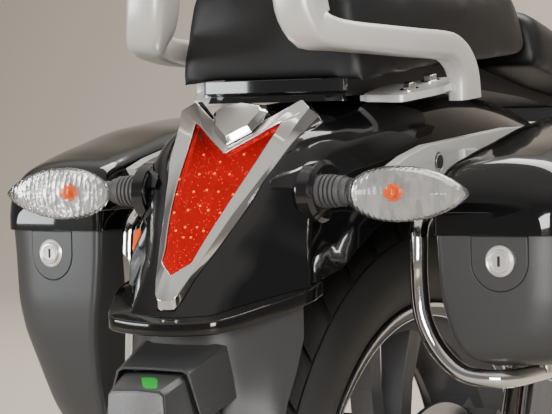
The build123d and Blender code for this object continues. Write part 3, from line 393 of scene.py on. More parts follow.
def flow(knots, table, stops):
    """Rows between the table's rows, led smoothly through them and never past them."""
    gaps = [b - a for a, b in zip(knots, knots[1:])]
    slopes = []
    for c in range(len(table[0])):
        ys = [row[c] for row in table]
        d = [(y1 - y0) / g for y0, y1, g in zip(ys, ys[1:], gaps)]
        m = [d[0]]
        for i in range(1, len(ys) - 1):
            w1, w2 = 2 * gaps[i] + gaps[i - 1], gaps[i] + 2 * gaps[i - 1]
            m.append(0.0 if d[i - 1] * d[i] <= 0 else (w1 + w2) / (w1 / d[i - 1] + w2 / d[i]))
        slopes.append(m + [d[-1]])
    out = []
    for s in stops:
        i = max([k for k in range(len(knots) - 1) if knots[k] <= s + 1e-9] or [0])
        t = (s - knots[i]) / gaps[i]
        row = []
        for c, m in enumerate(slopes):
            y0, y1 = table[i][c], table[i + 1][c]
            row.append((2 * t ** 3 - 3 * t * t + 1) * y0 + (t ** 3 - 2 * t * t + t) * gaps[i] * m[i]
                       + (3 * t * t - 2 * t ** 3) * y1 + (t ** 3 - t * t) * gaps[i] * m[i + 1])
        out.append(row)
    return out


def flow_pairs(knots, halves, stops):
    """Flow through half outlines, each a row of pairs."""
    rows = flow(knots, [[v for pair in half for v in pair] for half in halves], stops)
    return [list(zip(row[::2], row[1::2])) for row in rows]


def loft(rings, closed_path=False):
    """Closed skin through rings of points given in part.py's millimetres."""
    bm = bmesh.new()
    rows = [[bm.verts.new(at(*p)) for p in r] for r in rings]
    n = len(rows[0])
    for a, b in list(zip(rows, rows[1:])) + ([(rows[-1], rows[0])] if closed_path else []):
        for i in range(n):
            j = (i + 1) % n
            bm.faces.new((a[i], a[j], b[j], b[i]))
    if not closed_path:
        bm.faces.new(rows[0][::-1])
        bm.faces.new(rows[-1])
    bmesh.ops.recalc_face_normals(bm, faces=bm.faces)
    return mesh_of(bm)


def prism(outline, levels, sign=1):
    """Upright solid over an outline in plan; sign mirrors it."""
    return loft([[(sign * x, y, z) for x, y in outline] for z in levels])


def joined(*meshes):
    bm = bmesh.new()
    for m in meshes:
        bm.from_mesh(m)
    return mesh_of(bm)


def evaluated(holder):
    """Plain mesh of an object with its modifiers; the object is removed."""
    bpy.context.view_layer.update()
    deps = bpy.context.evaluated_depsgraph_get()
    mesh = bpy.data.meshes.new_from_object(holder.evaluated_get(deps))
    bpy.data.objects.remove(holder)
    return mesh


def carved(base, *cutters):
    """base with each cutter taken out of it."""
    holder = placed("base", base)
    tools = [placed("cutter", cutter) for cutter in cutters]
    for tool in tools:
        mod = holder.modifiers.new(tool.name, "BOOLEAN")
        mod.operation, mod.solver, mod.object = "DIFFERENCE", "EXACT", tool
    mesh = evaluated(holder)
    for tool in tools:
        bpy.data.objects.remove(tool)
    return mesh


def tube(path, radius, count):
    """Round tube along a path of points in part.py's millimetres."""
    points = [Vector(p) for p in path]
    rings, side = [], None
    for i, p in enumerate(points):
        t = (points[min(i + 1, len(points) - 1)] - points[max(i - 1, 0)]).normalized()
        side = side or t.orthogonal().normalized()
        side = (side - t * side.dot(t)).normalized()
        other = t.cross(side)
        rings.append([tuple(p + side * (radius * cos(a)) + other * (radius * sin(a))) for a in round_angles(count)])
    return loft(rings)


def lathe(profile, sign=1):
    """Ring turned about the axle from a closed (x, radius) outline; sign mirrors it."""
    return loft([[(sign * x, r * cos(a), r * sin(a)) for x, r in profile]
                 for a in round_angles(TURNED_STEPS)], closed_path=True)


def both(half):
    """Whole outline from its right half, which starts and ends on the centre plane."""
    return half + [(-p[0],) + tuple(p[1:]) for p in half[-2:0:-1]]


def lip_z(y):
    """Height of the tail's lower edge."""
    return 248.5 + 0.26 * (y + 397.0)


# Painted tail: part.py's sections, led smoothly from one to the next
SKIN = {
    150: [(0, 461), (46, 452), (56, 438), (98.5, 356), (98.4, 348), (98, 340)],
    147: [(0, 464), (44, 455), (54, 441), (98.5, 366), (98.4, 358), (98, 350)],
    144: [(0, 466), (41.5, 457), (54, 445), (98.5, 379.5), (98.4, 371), (98, 362)],
    140: [(0, 470), (38.5, 460), (57, 448), (98.5, 397), (98.6, 390), (98.2, 383)],
    138: [(0, 470), (42, 461), (58, 449), (98.5, 407.5), (98.8, 397), (98.4, 386)],
    136: [(0, 470), (47, 463), (61, 452), (98, 418.5), (99.5, 403), (98.8, 387)],
    133: [(0, 470), (54, 466), (67, 457), (94.5, 429), (99.5, 407), (101.5, 382.5)],
    131: [(0, 472), (58, 470), (71, 461), (92, 437), (98.5, 410), (104, 381.5)],
    129.5: [(0, 474), (62, 475), (75, 466), (90.5, 447), (98, 415), (106, 381)],
    127.5: [(0, 474), (65.5, 480), (77, 474), (90.5, 463), (99, 424), (108, 381)],
    126: [(0, 475), (68, 484), (80, 477), (91, 465), (103, 424), (110, 381)],
    123: [(0, 479), (70, 486), (84, 478), (94, 463), (108, 422), (114, 381)],
    120: [(0, 482), (71, 484), (86, 474), (99, 458), (113, 420), (118.5, 380.5)],
    117: [(0, 481), (69, 479), (86, 469), (101, 453), (117, 420), (122.5, 379)],
    114: [(0, 478), (60, 471), (84, 463), (103, 449), (121, 419), (126, 378)],
    108: [(0, 464), (44, 461.5), (74, 459), (105, 446), (129, 415), (130, 374)],
    100: [(0, 450), (46, 449), (78, 448), (108, 440), (132, 411), (133, 371)],
    88: [(0, 445), (48, 445), (80, 445), (110, 437), (135, 409), (135, 370)],
    76: [(0, 445), (48, 445), (80, 445), (111, 437), (136, 409), (136, 370)],
    60: [(0, 445), (48, 445), (80, 445), (112, 437), (137, 409), (137, 370)]}
SKIN_T = 3.0
SKIN_STEPS, SKIN_SOFT_FROM, SKIN_SOFT_OVER = 72, 116.0, 16.0


def tail_skin():
    knots = [-a for a in SKIN]
    stops = evenly(knots[0], knots[-1], SKIN_STEPS)
    rings = []
    for s, half in zip(stops, flow_pairs(knots, SKIN.values(), stops)):
        front = min(max((s + SKIN_SOFT_FROM) / SKIN_SOFT_OVER, 0.0), 1.0)
        radii = [0, 6 + 14 * front, 14 + 22 * front, 5 + 16 * front, 16, 40]
        inner = [(x - (SKIN_T if i >= 3 else 0.9 if i else 0), r - (0 if i == 5 else 1.2 if i >= 3 else SKIN_T))
                 for i, (x, r) in enumerate(half)]
        loops = []
        for line in (half, inner):
            whole = [(-x, r) for x, r in line[:0:-1]] + line
            loops.append(eased(whole, radii[:0:-1] + [60] + radii[1:], 4))
        a = radians(-s)
        rings.append([(x, r * cos(a), r * sin(a)) for x, r in loops[0] + loops[1][::-1]])
    return loft(rings)


# Lamp surround's half outline, each (x, v, n): rim on the paint, ridge, edge at the lens, and the rounding
SURROUND = [
    ((0, -30, -17.5), (0, -24.5, -11), (0, -1.5, -3.4), 3),
    ((9, -29.5, -17.5), (7.5, -24, -11), (4, 2, -3.4), 8),
    ((13.5, -18, -16.5), (11.5, -19.5, -9.5), (8, 6, -3.4), 6),
    ((19.3, 2, -14), (17.3, -3, -7.5), (16.2, 13.5, -3.4), 3),
    ((26.5, 23, -12.3), (24.6, 23, -5.6), (18, 27, -2.6), 40),
    ((33.6, 45, -11), (31, 45, -3.7), (23.3, 47.5, -0.1), 60),
    ((40.1, 67, -9.6), (36.1, 66, -2.7), (28.8, 70.5, 1.4), 60),
    ((47.6, 91, -7.6), (43.8, 88, -1.6), (33.5, 93.5, 2.2), 60),
    ((53.5, 111, -4), (50.9, 112, -1.0), (37.8, 117, 2), 60),
    ((60.5, 128, -1.8), (57.7, 130.5, -0.4), (41.4, 141, 1.6), 30),
    ((65, 149, -2.5), (59.6, 148.5, 1.0), (44.8, 160, 1.5), 30),
    ((69.5, 172, -7.2), (64.3, 173, 1.2), (46.1, 168, 1.5), 30),
    ((75.8, 193, -10), (70.5, 192.5, 1), (47.4, 176.5, 1.5), 2),
    ((57, 209, -4), (58.5, 203, 1), (37, 168.5, 1.5), 2),
    ((32, 186, -6), (34, 183, 0.5), (24, 157, 1.5), 10),
    ((0, 163, -8), (0, 158, 0.5), (0, 137.5, 1.5), 2)]
RIM, RIDGE, INNER, SOFT = (list(column) for column in zip(*SURROUND))
LAMP_HOLE = both([(x + 0.5 * min(1, x / 10), v + (0.5 if v > 150 else -0.4 if v < 0 else 0)) for x, v, n in RIM])


def lamp_hole(low, high):
    return loft([[lamp(x, v, n) for x, v in LAMP_HOLE] for n in (low, high)])


below = loft([[(x, y, z) for y, z in ((-640, lip_z(-640)), (-230, lip_z(-230)), (-230, 60), (-640, 60))]
              for x in (-160, 160)])
add_piece("tail_paint", carved(tail_skin(), below, lamp_hole(-60, 30)), "rear_fender", angle=28)

# Grab rail: one smooth casting with two lugs
RAIL = [((145, -80, 438.5), (22, 40)), ((145, -82, 458), (22, 38)), ((144, -94, 478), (23, 32)),
        ((142, -118, 489), (26, 27)), ((135, -170, 491.5), (29, 27)), ((121, -214, 494.5), (31, 27)),
        ((104, -252, 498), (34, 28)), ((90, -272, 504), (40, 34)), ((81, -277, 528), (43, 42)),
        ((77.5, -276, 578), (43, 45)), ((68.5, -295, 618), (43, 44)), ((60, -309, 640), (40, 40)),
        ((44, -317, 655), (34, 36)), ((0, -320, 660), (32, 34))]
RAIL_STEPS, RAIL_BOXY, LUG_T = 150, 0.52, 7
LUG = [(70, -150), (118, -158), (140, -120), (140, -62), (112, -66), (70, -100)]
LUG_FOOT = ((68, -149), (80, -149), (80, -133), (68, -133))


def lug_z(y, up=0.0):
    """Height of a lug's sloping underside."""
    return 441 + (y + 131) * 0.186 + up


def rail_mesh():
    half = [list(p) + list(s) for p, s in RAIL]
    table = half + [[-r[0]] + r[1:] for r in half[-2::-1]]
    for k, row in enumerate(table):
        row.append(max(0.0, 1.0 - abs(k - (len(RAIL) - 1)) / 2.0))
    knots = [0.0]
    for a, b in zip(table, table[1:]):
        knots.append(knots[-1] + dist(a[:3], b[:3]))
    rows = flow(knots, table, evenly(0.0, knots[-1], RAIL_STEPS))
    rings = []
    for i, (x, y, z, wide, tall, turn) in enumerate(rows):
        p = Vector((x, y, z))
        t = (Vector(rows[min(i + 1, RAIL_STEPS)][:3]) - Vector(rows[max(i - 1, 0)][:3])).normalized()
        sign = 1 if i <= RAIL_STEPS / 2 else -1
        lean = Vector((sign * cos(turn * pi / 2), 0, sin(turn * pi / 2)))
        across = (lean - t * lean.dot(t)).normalized()
        up = t.cross(across)
        ring = []
        for a in round_angles(24):
            c, s = cos(a), sin(a)
            ring.append(tuple(p + across * (wide / 2 * copysign(abs(c) ** RAIL_BOXY, c))
                              + up * (tall / 2 * copysign(abs(s) ** RAIL_BOXY, s))))
        rings.append(ring)
    return loft(rings)


lugs = []
for sign, side in SIDES:
    rounded_lug = eased(LUG, [8] * 6, 4, closed=True)
    lugs.append(loft([[(sign * x, y, lug_z(y, up)) for x, y in rounded_lug] for up in (0, LUG_T)]))
    lugs.append(prism(LUG_FOOT, (438.3, 444), sign))
add_piece("grab_rail_cast", joined(rail_mesh(), *lugs), "grab_rail", angle=40, bevel=0.8)

# Panniers and lids with full curves; each level has its height and how far inner, outer, rear and front draw in
BOX_IN, WALL, SEAM_Z, GAP = 186.0, 3.5, 316.0, 0.3
TAB_X, TAB_Z = 248.3, 293
BOX = {
    "right": [(SEAM_Z, 0, 0, 0, 0), (262, 4, 1, 0, 2), (236, 10, 4, 1, 4), (216, 19, 10, 4, 9), (205, 29, 19, 9, 18),
              (198, 46, 36, 22, 34)],
    "left": [(SEAM_Z, 0, 0, 0, 0), (290, 1, 2, 0, 1), (250, 5, 4, 0, 2), (218, 10, 9, 2, 4), (197, 12, 15, 5, 7),
             (179, 13, 21, 8, 10), (153, 14, 28, 14, 16), (134, 14, 34, 19, 24), (112, 17, 44, 30, 40),
             (104, 24, 54, 42, 54)]}


def plan(inner, outer, rear, front, wall=0.0):
    """A pannier's outline in plan, drawn in by each side's measure and by the wall."""
    i, o, f, r = inner + wall, outer + wall, front + wall, rear + wall
    pts = [(BOX_IN + i, -229 + r), (286, -219.6 + r), (316 - o, -203 + r), (328 - o, -130), (336 - o, -40),
           (334 - o, 90), (316 - o, 165 - f), (282, 194 - f), (BOX_IN + i, 197 - f)]
    pts[1] = (min(pts[1][0], 286 - o), pts[1][1])
    pts[7] = (min(pts[7][0], 296 - o), pts[7][1])
    return eased(pts, [9, 16, 16, 40, 40, 40, 20, 20, 9], 7, closed=True)


def rear_face(x):
    """Place of a pannier's rear face, which slopes a little across."""
    return -229 + (x - BOX_IN) * 8.5 / 91


def tab_shape(sign, radius, top, depths):
    """Tab with a round lower end, set on a pannier's rear face between two depths."""
    arc = [(TAB_X + radius * cos(t), TAB_Z + radius * sin(t)) for t in evenly(pi, 2 * pi, 20)]
    outline = [(arc[0][0], top)] + arc + [(arc[-1][0], top)]
    return loft([[(sign * x, rear_face(x) + d, z) for x, z in outline] for d in depths])


# Lid's section as shares of its width and height, and its outer side and top along the machine
SHAPE = [(0.0, 0.0), (0.0, 0.80), (0.03, 0.91), (0.12, 0.965), (0.27, 0.99), (0.45, 1.0), (0.66, 0.97),
         (0.82, 0.88), (0.93, 0.70), (0.985, 0.46), (1.0, 0.22), (1.0, 0.0)]
CROWN = [(-226, 290, 345), (-221, 301, 358), (-208, 312, 380), (-179, 320, 390), (-118, 331, 404), (-44, 336, 419),
         (63, 335, 428), (130, 325, 424), (172, 308, 404), (190, 290, 372), (196, 280, 345)]
LOCK_X, LOCK_Z = 249.0, 293.5
LOCK = ((14.0, -0.2), (14.0, -1.9), (12.6, -2.7), (11.6, -2.2), (11.2, -2.2), (10.8, -3.6), (10.0, -4.6),
        (8.2, -4.8), (7.2, -4.0), (0.4, -3.9))
KEY_SLOT = ((-1.3, -4.6), (1.3, -4.6), (1.3, 4.6), (-1.3, 4.6))


def crown_solid(sign, low, wall, ends):
    stops = [ends[0] + (ends[1] - ends[0]) * (0.5 - 0.5 * cos(pi * k / 60)) for k in range(61)]
    arc = [0.0]
    for a, b in zip(SHAPE, SHAPE[1:]):
        arc.append(arc[-1] + dist(a, b))
    dense = flow(arc, SHAPE, evenly(0.0, arc[-1], 44))
    return loft([[(sign * (BOX_IN + wall + (o - BOX_IN - 2 * wall) * a), y, low + (top - wall - low) * b)
                  for a, b in dense]
                 for y, (o, top) in zip(stops, flow([r[0] for r in CROWN], [r[1:] for r in CROWN], stops))])


for sign, side in SIDES:
    knots = [-r[0] for r in BOX[side]]
    stops = evenly(knots[0], knots[-1], 48)
    rows = flow(knots, [r[1:] for r in BOX[side]], stops)
    outside = loft([[(sign * x, y, -z) for x, y in plan(*row)] for z, row in zip(stops, rows)])
    inside = loft([[(sign * x, y, z) for x, y in plan(*row, WALL)] for z, row in
                   [(SEAM_Z + 1, rows[0])] + [(-z, row) for z, row in zip(stops[1:-3], rows[1:-3])]])
    pocket = tab_shape(sign, 27.1, 330, (-4, 1.8))
    add_piece("pannier_shell_" + side, carved(outside, inside, pocket), "pannier_" + side, angle=34, bevel=0.5)
    add_piece("latch_tab_" + side, tab_shape(sign, 26.5, 315.4, (-0.6, 1.5)), "latch_" + side, angle=34, bevel=0.7)

    face = rear_face(LOCK_X)
    lock = loft([[(sign * LOCK_X + radius * cos(a), face + d, LOCK_Z + radius * sin(a))
                  for a in round_angles(48)] for radius, d in LOCK])
    add_piece("key_lock_" + side, lock, "latch_" + side, NICKEL, angle=24, stands=False)
    slot = loft([[(sign * LOCK_X + dx, face + d, LOCK_Z + dz) for dx, dz in KEY_SLOT] for d in (-3.8, -4.15)])
    add_piece("key_slot_" + side, slot, "latch_" + side, SHADOW_GAP, stands=False)

    base = SEAM_Z + GAP
    crown = carved(crown_solid(sign, base, 0.0, (-226, 196)), crown_solid(sign, SEAM_Z - 1, WALL, (-222.5, 192.5)))
    band_out = loft([[(sign * x, y, base + up) for x, y in plan(0, 0, 0, 0, wall)] for up, wall in
                     ((0, -1.9), (0.7, -2.5), (20, -2.5), (20.7, -1.9))])
    band_in = prism(plan(0, 0, 0, 0, WALL), (SEAM_Z - 1, SEAM_Z + 26), sign)
    add_piece("lid_skin_" + side, joined(crown, carved(band_out, band_in)), "lid_" + side, angle=30)


# Geometry Nodes: what repeats

def grown(name, base, inputs, build, finish):
    """Mesh that Geometry Nodes make of base: build gives the instances, which are realized and painted.

    inputs has the group's own inputs as (name, type, value).
    """
    tree = bpy.data.node_groups.new(name + "_nodes", "GeometryNodeTree")
    tree.interface.new_socket("Geometry", in_out="INPUT", socket_type="NodeSocketGeometry")
    sockets = [tree.interface.new_socket(label, in_out="INPUT", socket_type="NodeSocket" + kind)
               for label, kind, value in inputs]
    tree.interface.new_socket("Geometry", in_out="OUTPUT", socket_type="NodeSocketGeometry")
    real = node(tree, "GeometryNodeRealizeInstances",
                {"Geometry": build(tree, tree.nodes.new("NodeGroupInput").outputs)})
    paint = node(tree, "GeometryNodeSetMaterial", {"Geometry": real, "Material": finish})
    node(tree, "NodeGroupOutput", {"Geometry": paint})
    holder = placed(name + "_holder", base)
    mod = holder.modifiers.new(name, "NODES")
    mod.node_group = tree
    for socket, (label, kind, value) in zip(sockets, inputs):
        mod[socket.identifier] = value
    return evaluated(holder)


def instanced(name, points, shape, finish):
    """shape set on each of the points (place, turn), in part.py's millimetres."""
    base = bpy.data.meshes.new(name + "_points")
    base.from_pydata([at(*p) for p, turn in points], [], [])
    base.attributes.new("turn", "FLOAT_VECTOR", "POINT").data.foreach_set(
        "vector", [c for p, turn in points for c in turn])

    def build(tree, given):
        turn = node(tree, "GeometryNodeInputNamedAttribute", {"Name": "turn"}, data_type="FLOAT_VECTOR")
        return node(tree, "GeometryNodeInstanceOnPoints", {
            "Points": given["Geometry"], "Instance": shape(tree), "Rotation": turn.outputs["Attribute"],
            "Scale": given["Size"]})
    return grown(name, base, [("Size", "Float", 1.0)], build, finish)


def round_axle(name, pitch, count, finish):
    """Copies of pitch turned about the axle."""
    def build(tree, given):
        line = node(tree, "GeometryNodeMeshLine", {"Count": given["Count"], "Start Location": given["Axle"],
                                                   "Offset": (0, 0, 0)})
        share = maths(tree, "DIVIDE", node(tree, "GeometryNodeInputIndex"), given["Count"])
        turn = node(tree, "ShaderNodeCombineXYZ", {"X": maths(tree, "MULTIPLY", share, 2 * pi)})
        return node(tree, "GeometryNodeInstanceOnPoints", {
            "Points": line, "Instance": given["Geometry"], "Rotation": turn})
    return grown(name, pitch, [("Count", "Int", count), ("Axle", "Vector", tuple(at(0, 0, 0)))], build, finish)


def bolt(*drums):
    """Shape of a bolt on its foot: drums as (radius, depth, sides, height of the foot, share of radius at the top)."""
    def shape(tree):
        join = tree.nodes.new("GeometryNodeJoinGeometry")
        for radius, depth, sides, foot, taper in drums:
            cone = node(tree, "GeometryNodeMeshCone", {
                "Vertices": sides, "Radius Bottom": radius / 1000, "Radius Top": radius * taper / 1000,
                "Depth": depth / 1000})
            shift = node(tree, "GeometryNodeTransform", {"Geometry": cone, "Translation": (0, 0, foot / 1000)})
            feed(tree, join, {"Geometry": shift})
        return join
    return shape


def cap_bolt(radius, height):
    return bolt((radius, height * 0.8, 20, 0.0, 1.0), (radius, height * 0.2, 20, height * 0.8, 0.85))


def diode(tree):
    return node(tree, "GeometryNodeMeshUVSphere", {"Segments": 10, "Rings": 6, "Radius": DIODE_R / 1000})


# Lamp: a clear lens, and diodes just under its face
LENS = [(max(x - 0.5, 0.0), v, n - 1.2) for x, v, n in INNER]
LENS_TOP, LENS_T, DIODE_DEEP, DIODE_R = 12, 2.6, 0.8, 1.3
DIODES = [(0, 128), (0, 114), (22, 137), (16.5, 113), (36, 107), (13.5, 92), (30.5, 89), (0, 94), (11, 71), (25, 68),
          (0, 76), (6.5, 52), (15, 48), (4, 41)]


def lens_level(v):
    """Depth n of the lens's face at v, between the outline's points."""
    for (xa, va, na), (xb, vb, nb) in zip(LENS[:LENS_TOP], LENS[1:]):
        if va <= v <= vb:
            return na + (nb - na) * (v - va) / (vb - va)
    return LENS[0][2]


def level(half, n):
    return [(x, v, n) for x, v, old in half]


def sunk(half, down):
    return [(x, v, n - down) for x, v, n in half]


def between(a, b, t):
    return [tuple(p[k] + (q[k] - p[k]) * t for k in range(3)) for p, q in zip(a, b)]


def lamp_ring(half):
    """Closed ring through both halves of an outline, its corners rounded."""
    return [lamp(*p) for p in eased(both(half), SOFT + SOFT[-2:0:-1], 4, closed=True)]


add_piece("lamp_lens_clear", loft([lamp_ring(sunk(LENS, depth)) for depth in (LENS_T, 0.0)]), "lamp_lens", angle=30)
spots = [(lamp(s * x, v, lens_level(v) - DIODE_DEEP), (0, 0, 0)) for x, v in DIODES for s in ((1, -1) if x else (1,))]
add_piece("lamp_diodes", instanced("lamp_diodes", spots, diode, LED), "lamp_housing", stands=False)

# Indicators: bowls with a painted reflection glow behind the fluted lenses, each ring at its depth and share of the
# outline
IND_Y, IND_Z, IND_IN, IND_OUT, IND_TALL = -289.0, 357.0, 130.0, 251.0, 25.0
BOWL = ((3.2, 0.945), (3.2, 0.93), (10, 0.86), (17.5, 0.72), (22.5, 0.5), (23.5, 0.47), (24.0, 0.47), (18.5, 0.745))


def almond(sign, y, grow):
    """Indicator's outline: round at its inner end, drawn out at the outer one."""
    middle = IND_IN + 0.42 * (IND_OUT - IND_IN)
    out = []
    for a in round_angles(48):
        c, s = cos(a), sin(a)
        x = (IND_OUT - middle if c > 0 else middle - IND_IN) * c
        tall = copysign(IND_TALL * abs(s) ** (1.0 if c < 0 else 1.45), s)
        out.append((sign * (middle + x * grow), y, IND_Z - 1 + tall * grow))
    return out


for sign, side in SIDES:
    add_piece("indicator_bowl_" + side, loft([almond(sign, IND_Y + y, grow) for y, grow in BOWL]),
              "indicator_body_" + side, BOWL_CHROME, angle=50, stands=False)

# Chrome surround: one flat face, a ridge line and a chamfer down to the paint
bezel = loft([lamp_ring(half) for half in (
    level(RIM, -24), sunk(RIM, 0.8), between(RIM, RIDGE, 0.06), between(RIM, RIDGE, 0.93), sunk(RIDGE, -0.1),
    between(RIDGE, INNER, 0.07), between(RIDGE, INNER, 0.93), sunk(INNER, 0.5), level(INNER, -24))],
             closed_path=True)
add_piece("lamp_bezel", bezel, "lamp_surround", angle=20)

# Lip along the tail's lower edge
LIP_OUT = [(0, -402), (34, -398), (58, -391), (70, -375), (78, -358.5), (86, -344.5), (93, -333), (101, -314),
           (104, -300), (103, -286)]
LIP_IN = [(0, -368.5), (30, -365.5), (46.5, -357.4), (55, -350), (62.5, -343.3), (70, -334.5), (78.5, -325.2),
          (87.5, -312.2), (94, -302), (95, -286)]
LIP_SOFT = [60, 24, 14, 20, 40, 40, 40, 24, 14, 4]
LIP_DEEP = 12.0


def plan_line(half, radii, steps=6):
    """Outline in plan from the left end round the back to the right end, corners rounded."""
    return eased([(-x, y) for x, y in half[:0:-1]] + half, radii[:0:-1] + radii, steps)


section = eased([(0, 0.1), (0.03, 0), (1, 0), (1, 1), (0.03, 1), (0, 0.9)], [0.02, 0.02, 0, 0, 0.02, 0.02], 2,
                closed=True)
rings = []
for (xa, ya), (xb, yb) in zip(plan_line(LIP_OUT, LIP_SOFT), plan_line(LIP_IN, LIP_SOFT)):
    top_a, top_b = lip_z(ya) - GAP, lip_z(yb) - GAP
    rings.append([(xa + (xb - xa) * u, ya + (yb - ya) * u, top_a + (top_b - top_a) * u - LIP_DEEP * v)
                  for u, v in section])
add_piece("tail_lip_rim", carved(loft(rings), lamp_hole(-26, 30)), "tail_lip", angle=30)

# Inner guard: a thin wall led down behind the tyre
GUARD_TOP = [(0, -368), (30, -365), (46, -357), (62, -343), (78, -325), (87, -312), (92, -302)]
GUARD = [(228, GUARD_TOP),
         (200, [(0, -366), (30, -363), (48, -355), (63, -342), (78, -329), (86, -320), (90, -312)]),
         (160, [(0, -364), (34, -361), (50, -354), (66, -345), (78, -338), (84, -334), (88, -330)]),
         (90, [(0, -360), (36, -358), (52, -353), (66, -346), (78, -341), (84, -338), (88, -336)]),
         (20, [(0, -356), (38, -354), (54, -350), (66, -346), (78, -343), (84, -340), (88, -338)])]
GUARD_IN = [(0, 3), (-0.4, 3), (-1.6, 2.6), (-2.2, 2.1), (-2.4, 1.8), (-2.6, 1.5), (-3, 0.6)]
GUARD_SOFT = [60, 24, 14, 14, 14, 10, 2]


def guard_ring(half, height):
    inside = [(x + dx, y + dy) for (x, y), (dx, dy) in zip(half, GUARD_IN)]
    line = plan_line(half, GUARD_SOFT, 5) + plan_line(inside, GUARD_SOFT, 5)[::-1]
    return [(x, y, height(y)) for x, y in line]


knots = [-z for z, half in GUARD]
stops = evenly(knots[0], knots[-1], 26)
rings = [guard_ring(GUARD_TOP, lambda y: lip_z(y) - 2.5)]
rings += [guard_ring(half, lambda y, z=-s: z)
          for s, half in zip(stops, flow_pairs(knots, [half for z, half in GUARD], stops))]
add_piece("inner_guard_wall", loft(rings), "inner_guard", angle=34)

dressed("plate_carrier", 1.4, FINISH["dark_plastic"], segments=3)
dressed("plate_lamp", 3.0, segments=4)
dressed("plate_lamp_lens", 0.8)

# Blank green marking on the plate lamp's sloping top
mark = eased([(-7.4, -415), (9.2, -413), (21, -431), (6.8, -432)], [3, 9, 3, 9], 5, closed=True)
label = loft([[(x, y, 203.5 + (y + 408) * 0.4 + up) for x, y in mark] for up in (-0.4, 0.25)])
add_piece("green_marking", label, "plate_lamp", GREEN_LABEL, stands=False)

# Tyre: carcass with sunk shoulders, and Geometry Nodes repeat one pitch of tread round it
CROWN_R, TREAD_DEEP, TREAD_ROOT, PITCHES, TREAD_CUT = 328.0, 4.5, 0.6, 36, 10.0
SHOULDER, BULGE, BEAD, INNER_SHOULDER = (62, 300), (70, 270), (52, 233), (52, 294)
TREAD_ROWS = ((3.0, 26.0, 26.0, 0.0), (31.0, 57.5, 34.0, 30.0))


def arc_through(a, b, c, n):
    """Points on the circle through three points."""
    d = 2 * (a[0] * (b[1] - c[1]) + b[0] * (c[1] - a[1]) + c[0] * (a[1] - b[1]))
    qa, qb, qc = (p[0] ** 2 + p[1] ** 2 for p in (a, b, c))
    ox = (qa * (b[1] - c[1]) + qb * (c[1] - a[1]) + qc * (a[1] - b[1])) / d
    oy = (qa * (c[0] - b[0]) + qb * (a[0] - c[0]) + qc * (b[0] - a[0])) / d
    r = dist((ox, oy), a)
    t0, t1, t2 = (atan2(p[1] - oy, p[0] - ox) for p in (a, b, c))
    if (t1 - t0) * (t2 - t1) < 0:
        t0, t2 = (t + 2 * pi if t < 0 else t for t in (t0, t2))
    return [(ox + r * cos(t), oy + r * sin(t)) for t in evenly(t0, t2, n)]


TREAD_O = (SHOULDER[0] ** 2 + SHOULDER[1] ** 2 - CROWN_R ** 2) / (2 * (SHOULDER[1] - CROWN_R))


def crown_r(x):
    """Radius of the tread surface at x from the tyre's centre plane."""
    return TREAD_O + sqrt((CROWN_R - TREAD_O) ** 2 - x * x)


carcass = [(x, crown_r(x) - TREAD_DEEP) for x in evenly(-57, 57, 22)]
right_wall = [(59, crown_r(59)), SHOULDER] + arc_through(SHOULDER, BULGE, BEAD, 14)[1:]
right_wall += [(44, 229), (44, 224), (40, 224), (46, 240), (60, 272), INNER_SHOULDER]
inner_arc = arc_through(INNER_SHOULDER, (0, CROWN_R - 14), (-INNER_SHOULDER[0], INNER_SHOULDER[1]), 10)[1:-1]
tyre = lathe(carcass + right_wall + inner_arc + [(-x, r) for x, r in right_wall[::-1]])
add_piece("tyre_carcass", tyre, "tyre", angle=30)


def tread_block(corners, columns=5, rows=3):
    """Raised block between four corners (x, along the crown), bent to the tyre: points and faces."""
    grid = [[(corners[0][k] * (1 - u) + corners[1][k] * u) * (1 - v) + (corners[3][k] * (1 - u) + corners[2][k] * u) * v
             for k in (0, 1)] for v in evenly(0.0, 1.0, rows) for u in evenly(0.0, 1.0, columns)]

    def on_tyre(p, sink):
        a, r = p[1] / CROWN_R, crown_r(p[0]) - sink
        return (p[0], r * cos(a), r * sin(a))

    w = columns + 1
    faces = [(j * w + i, j * w + i + 1, (j + 1) * w + i + 1, (j + 1) * w + i)
             for j in range(rows) for i in range(columns)]
    edge = list(range(w)) + [j * w + columns for j in range(1, rows + 1)]
    edge += [rows * w + i for i in range(columns - 1, -1, -1)] + [j * w for j in range(rows - 1, 0, -1)]
    low, n = len(grid), len(edge)
    faces += [(edge[(i + 1) % n], edge[i], low + i, low + (i + 1) % n) for i in range(n)]
    faces.append(tuple(range(low, low + n)))
    return [on_tyre(p, 0.0) for p in grid] + [on_tyre(grid[i], TREAD_DEEP + TREAD_ROOT) for i in edge], faces


def tread_pitch():
    bm = bmesh.new()
    step = 2 * pi * CROWN_R / PITCHES
    for sign, phase in ((1, 0.0), (-1, 0.5)):
        for x0, x1, lean, drift in TREAD_ROWS:
            s = phase * step + drift
            length = step - TREAD_CUT
            points, faces = tread_block([(sign * x0, s), (sign * x1, s + lean), (sign * x1, s + lean + length),
                                         (sign * x0, s + length)])
            made = [bm.verts.new(at(*p) - at(0, 0, 0)) for p in points]
            for f in faces:
                bm.faces.new([made[i] for i in f])
    bmesh.ops.recalc_face_normals(bm, faces=bm.faces)
    return mesh_of(bm)


add_piece("tyre_tread", round_axle("tyre_tread", tread_pitch(), PITCHES, FINISH["tyre"]), "tyre", stands=False)

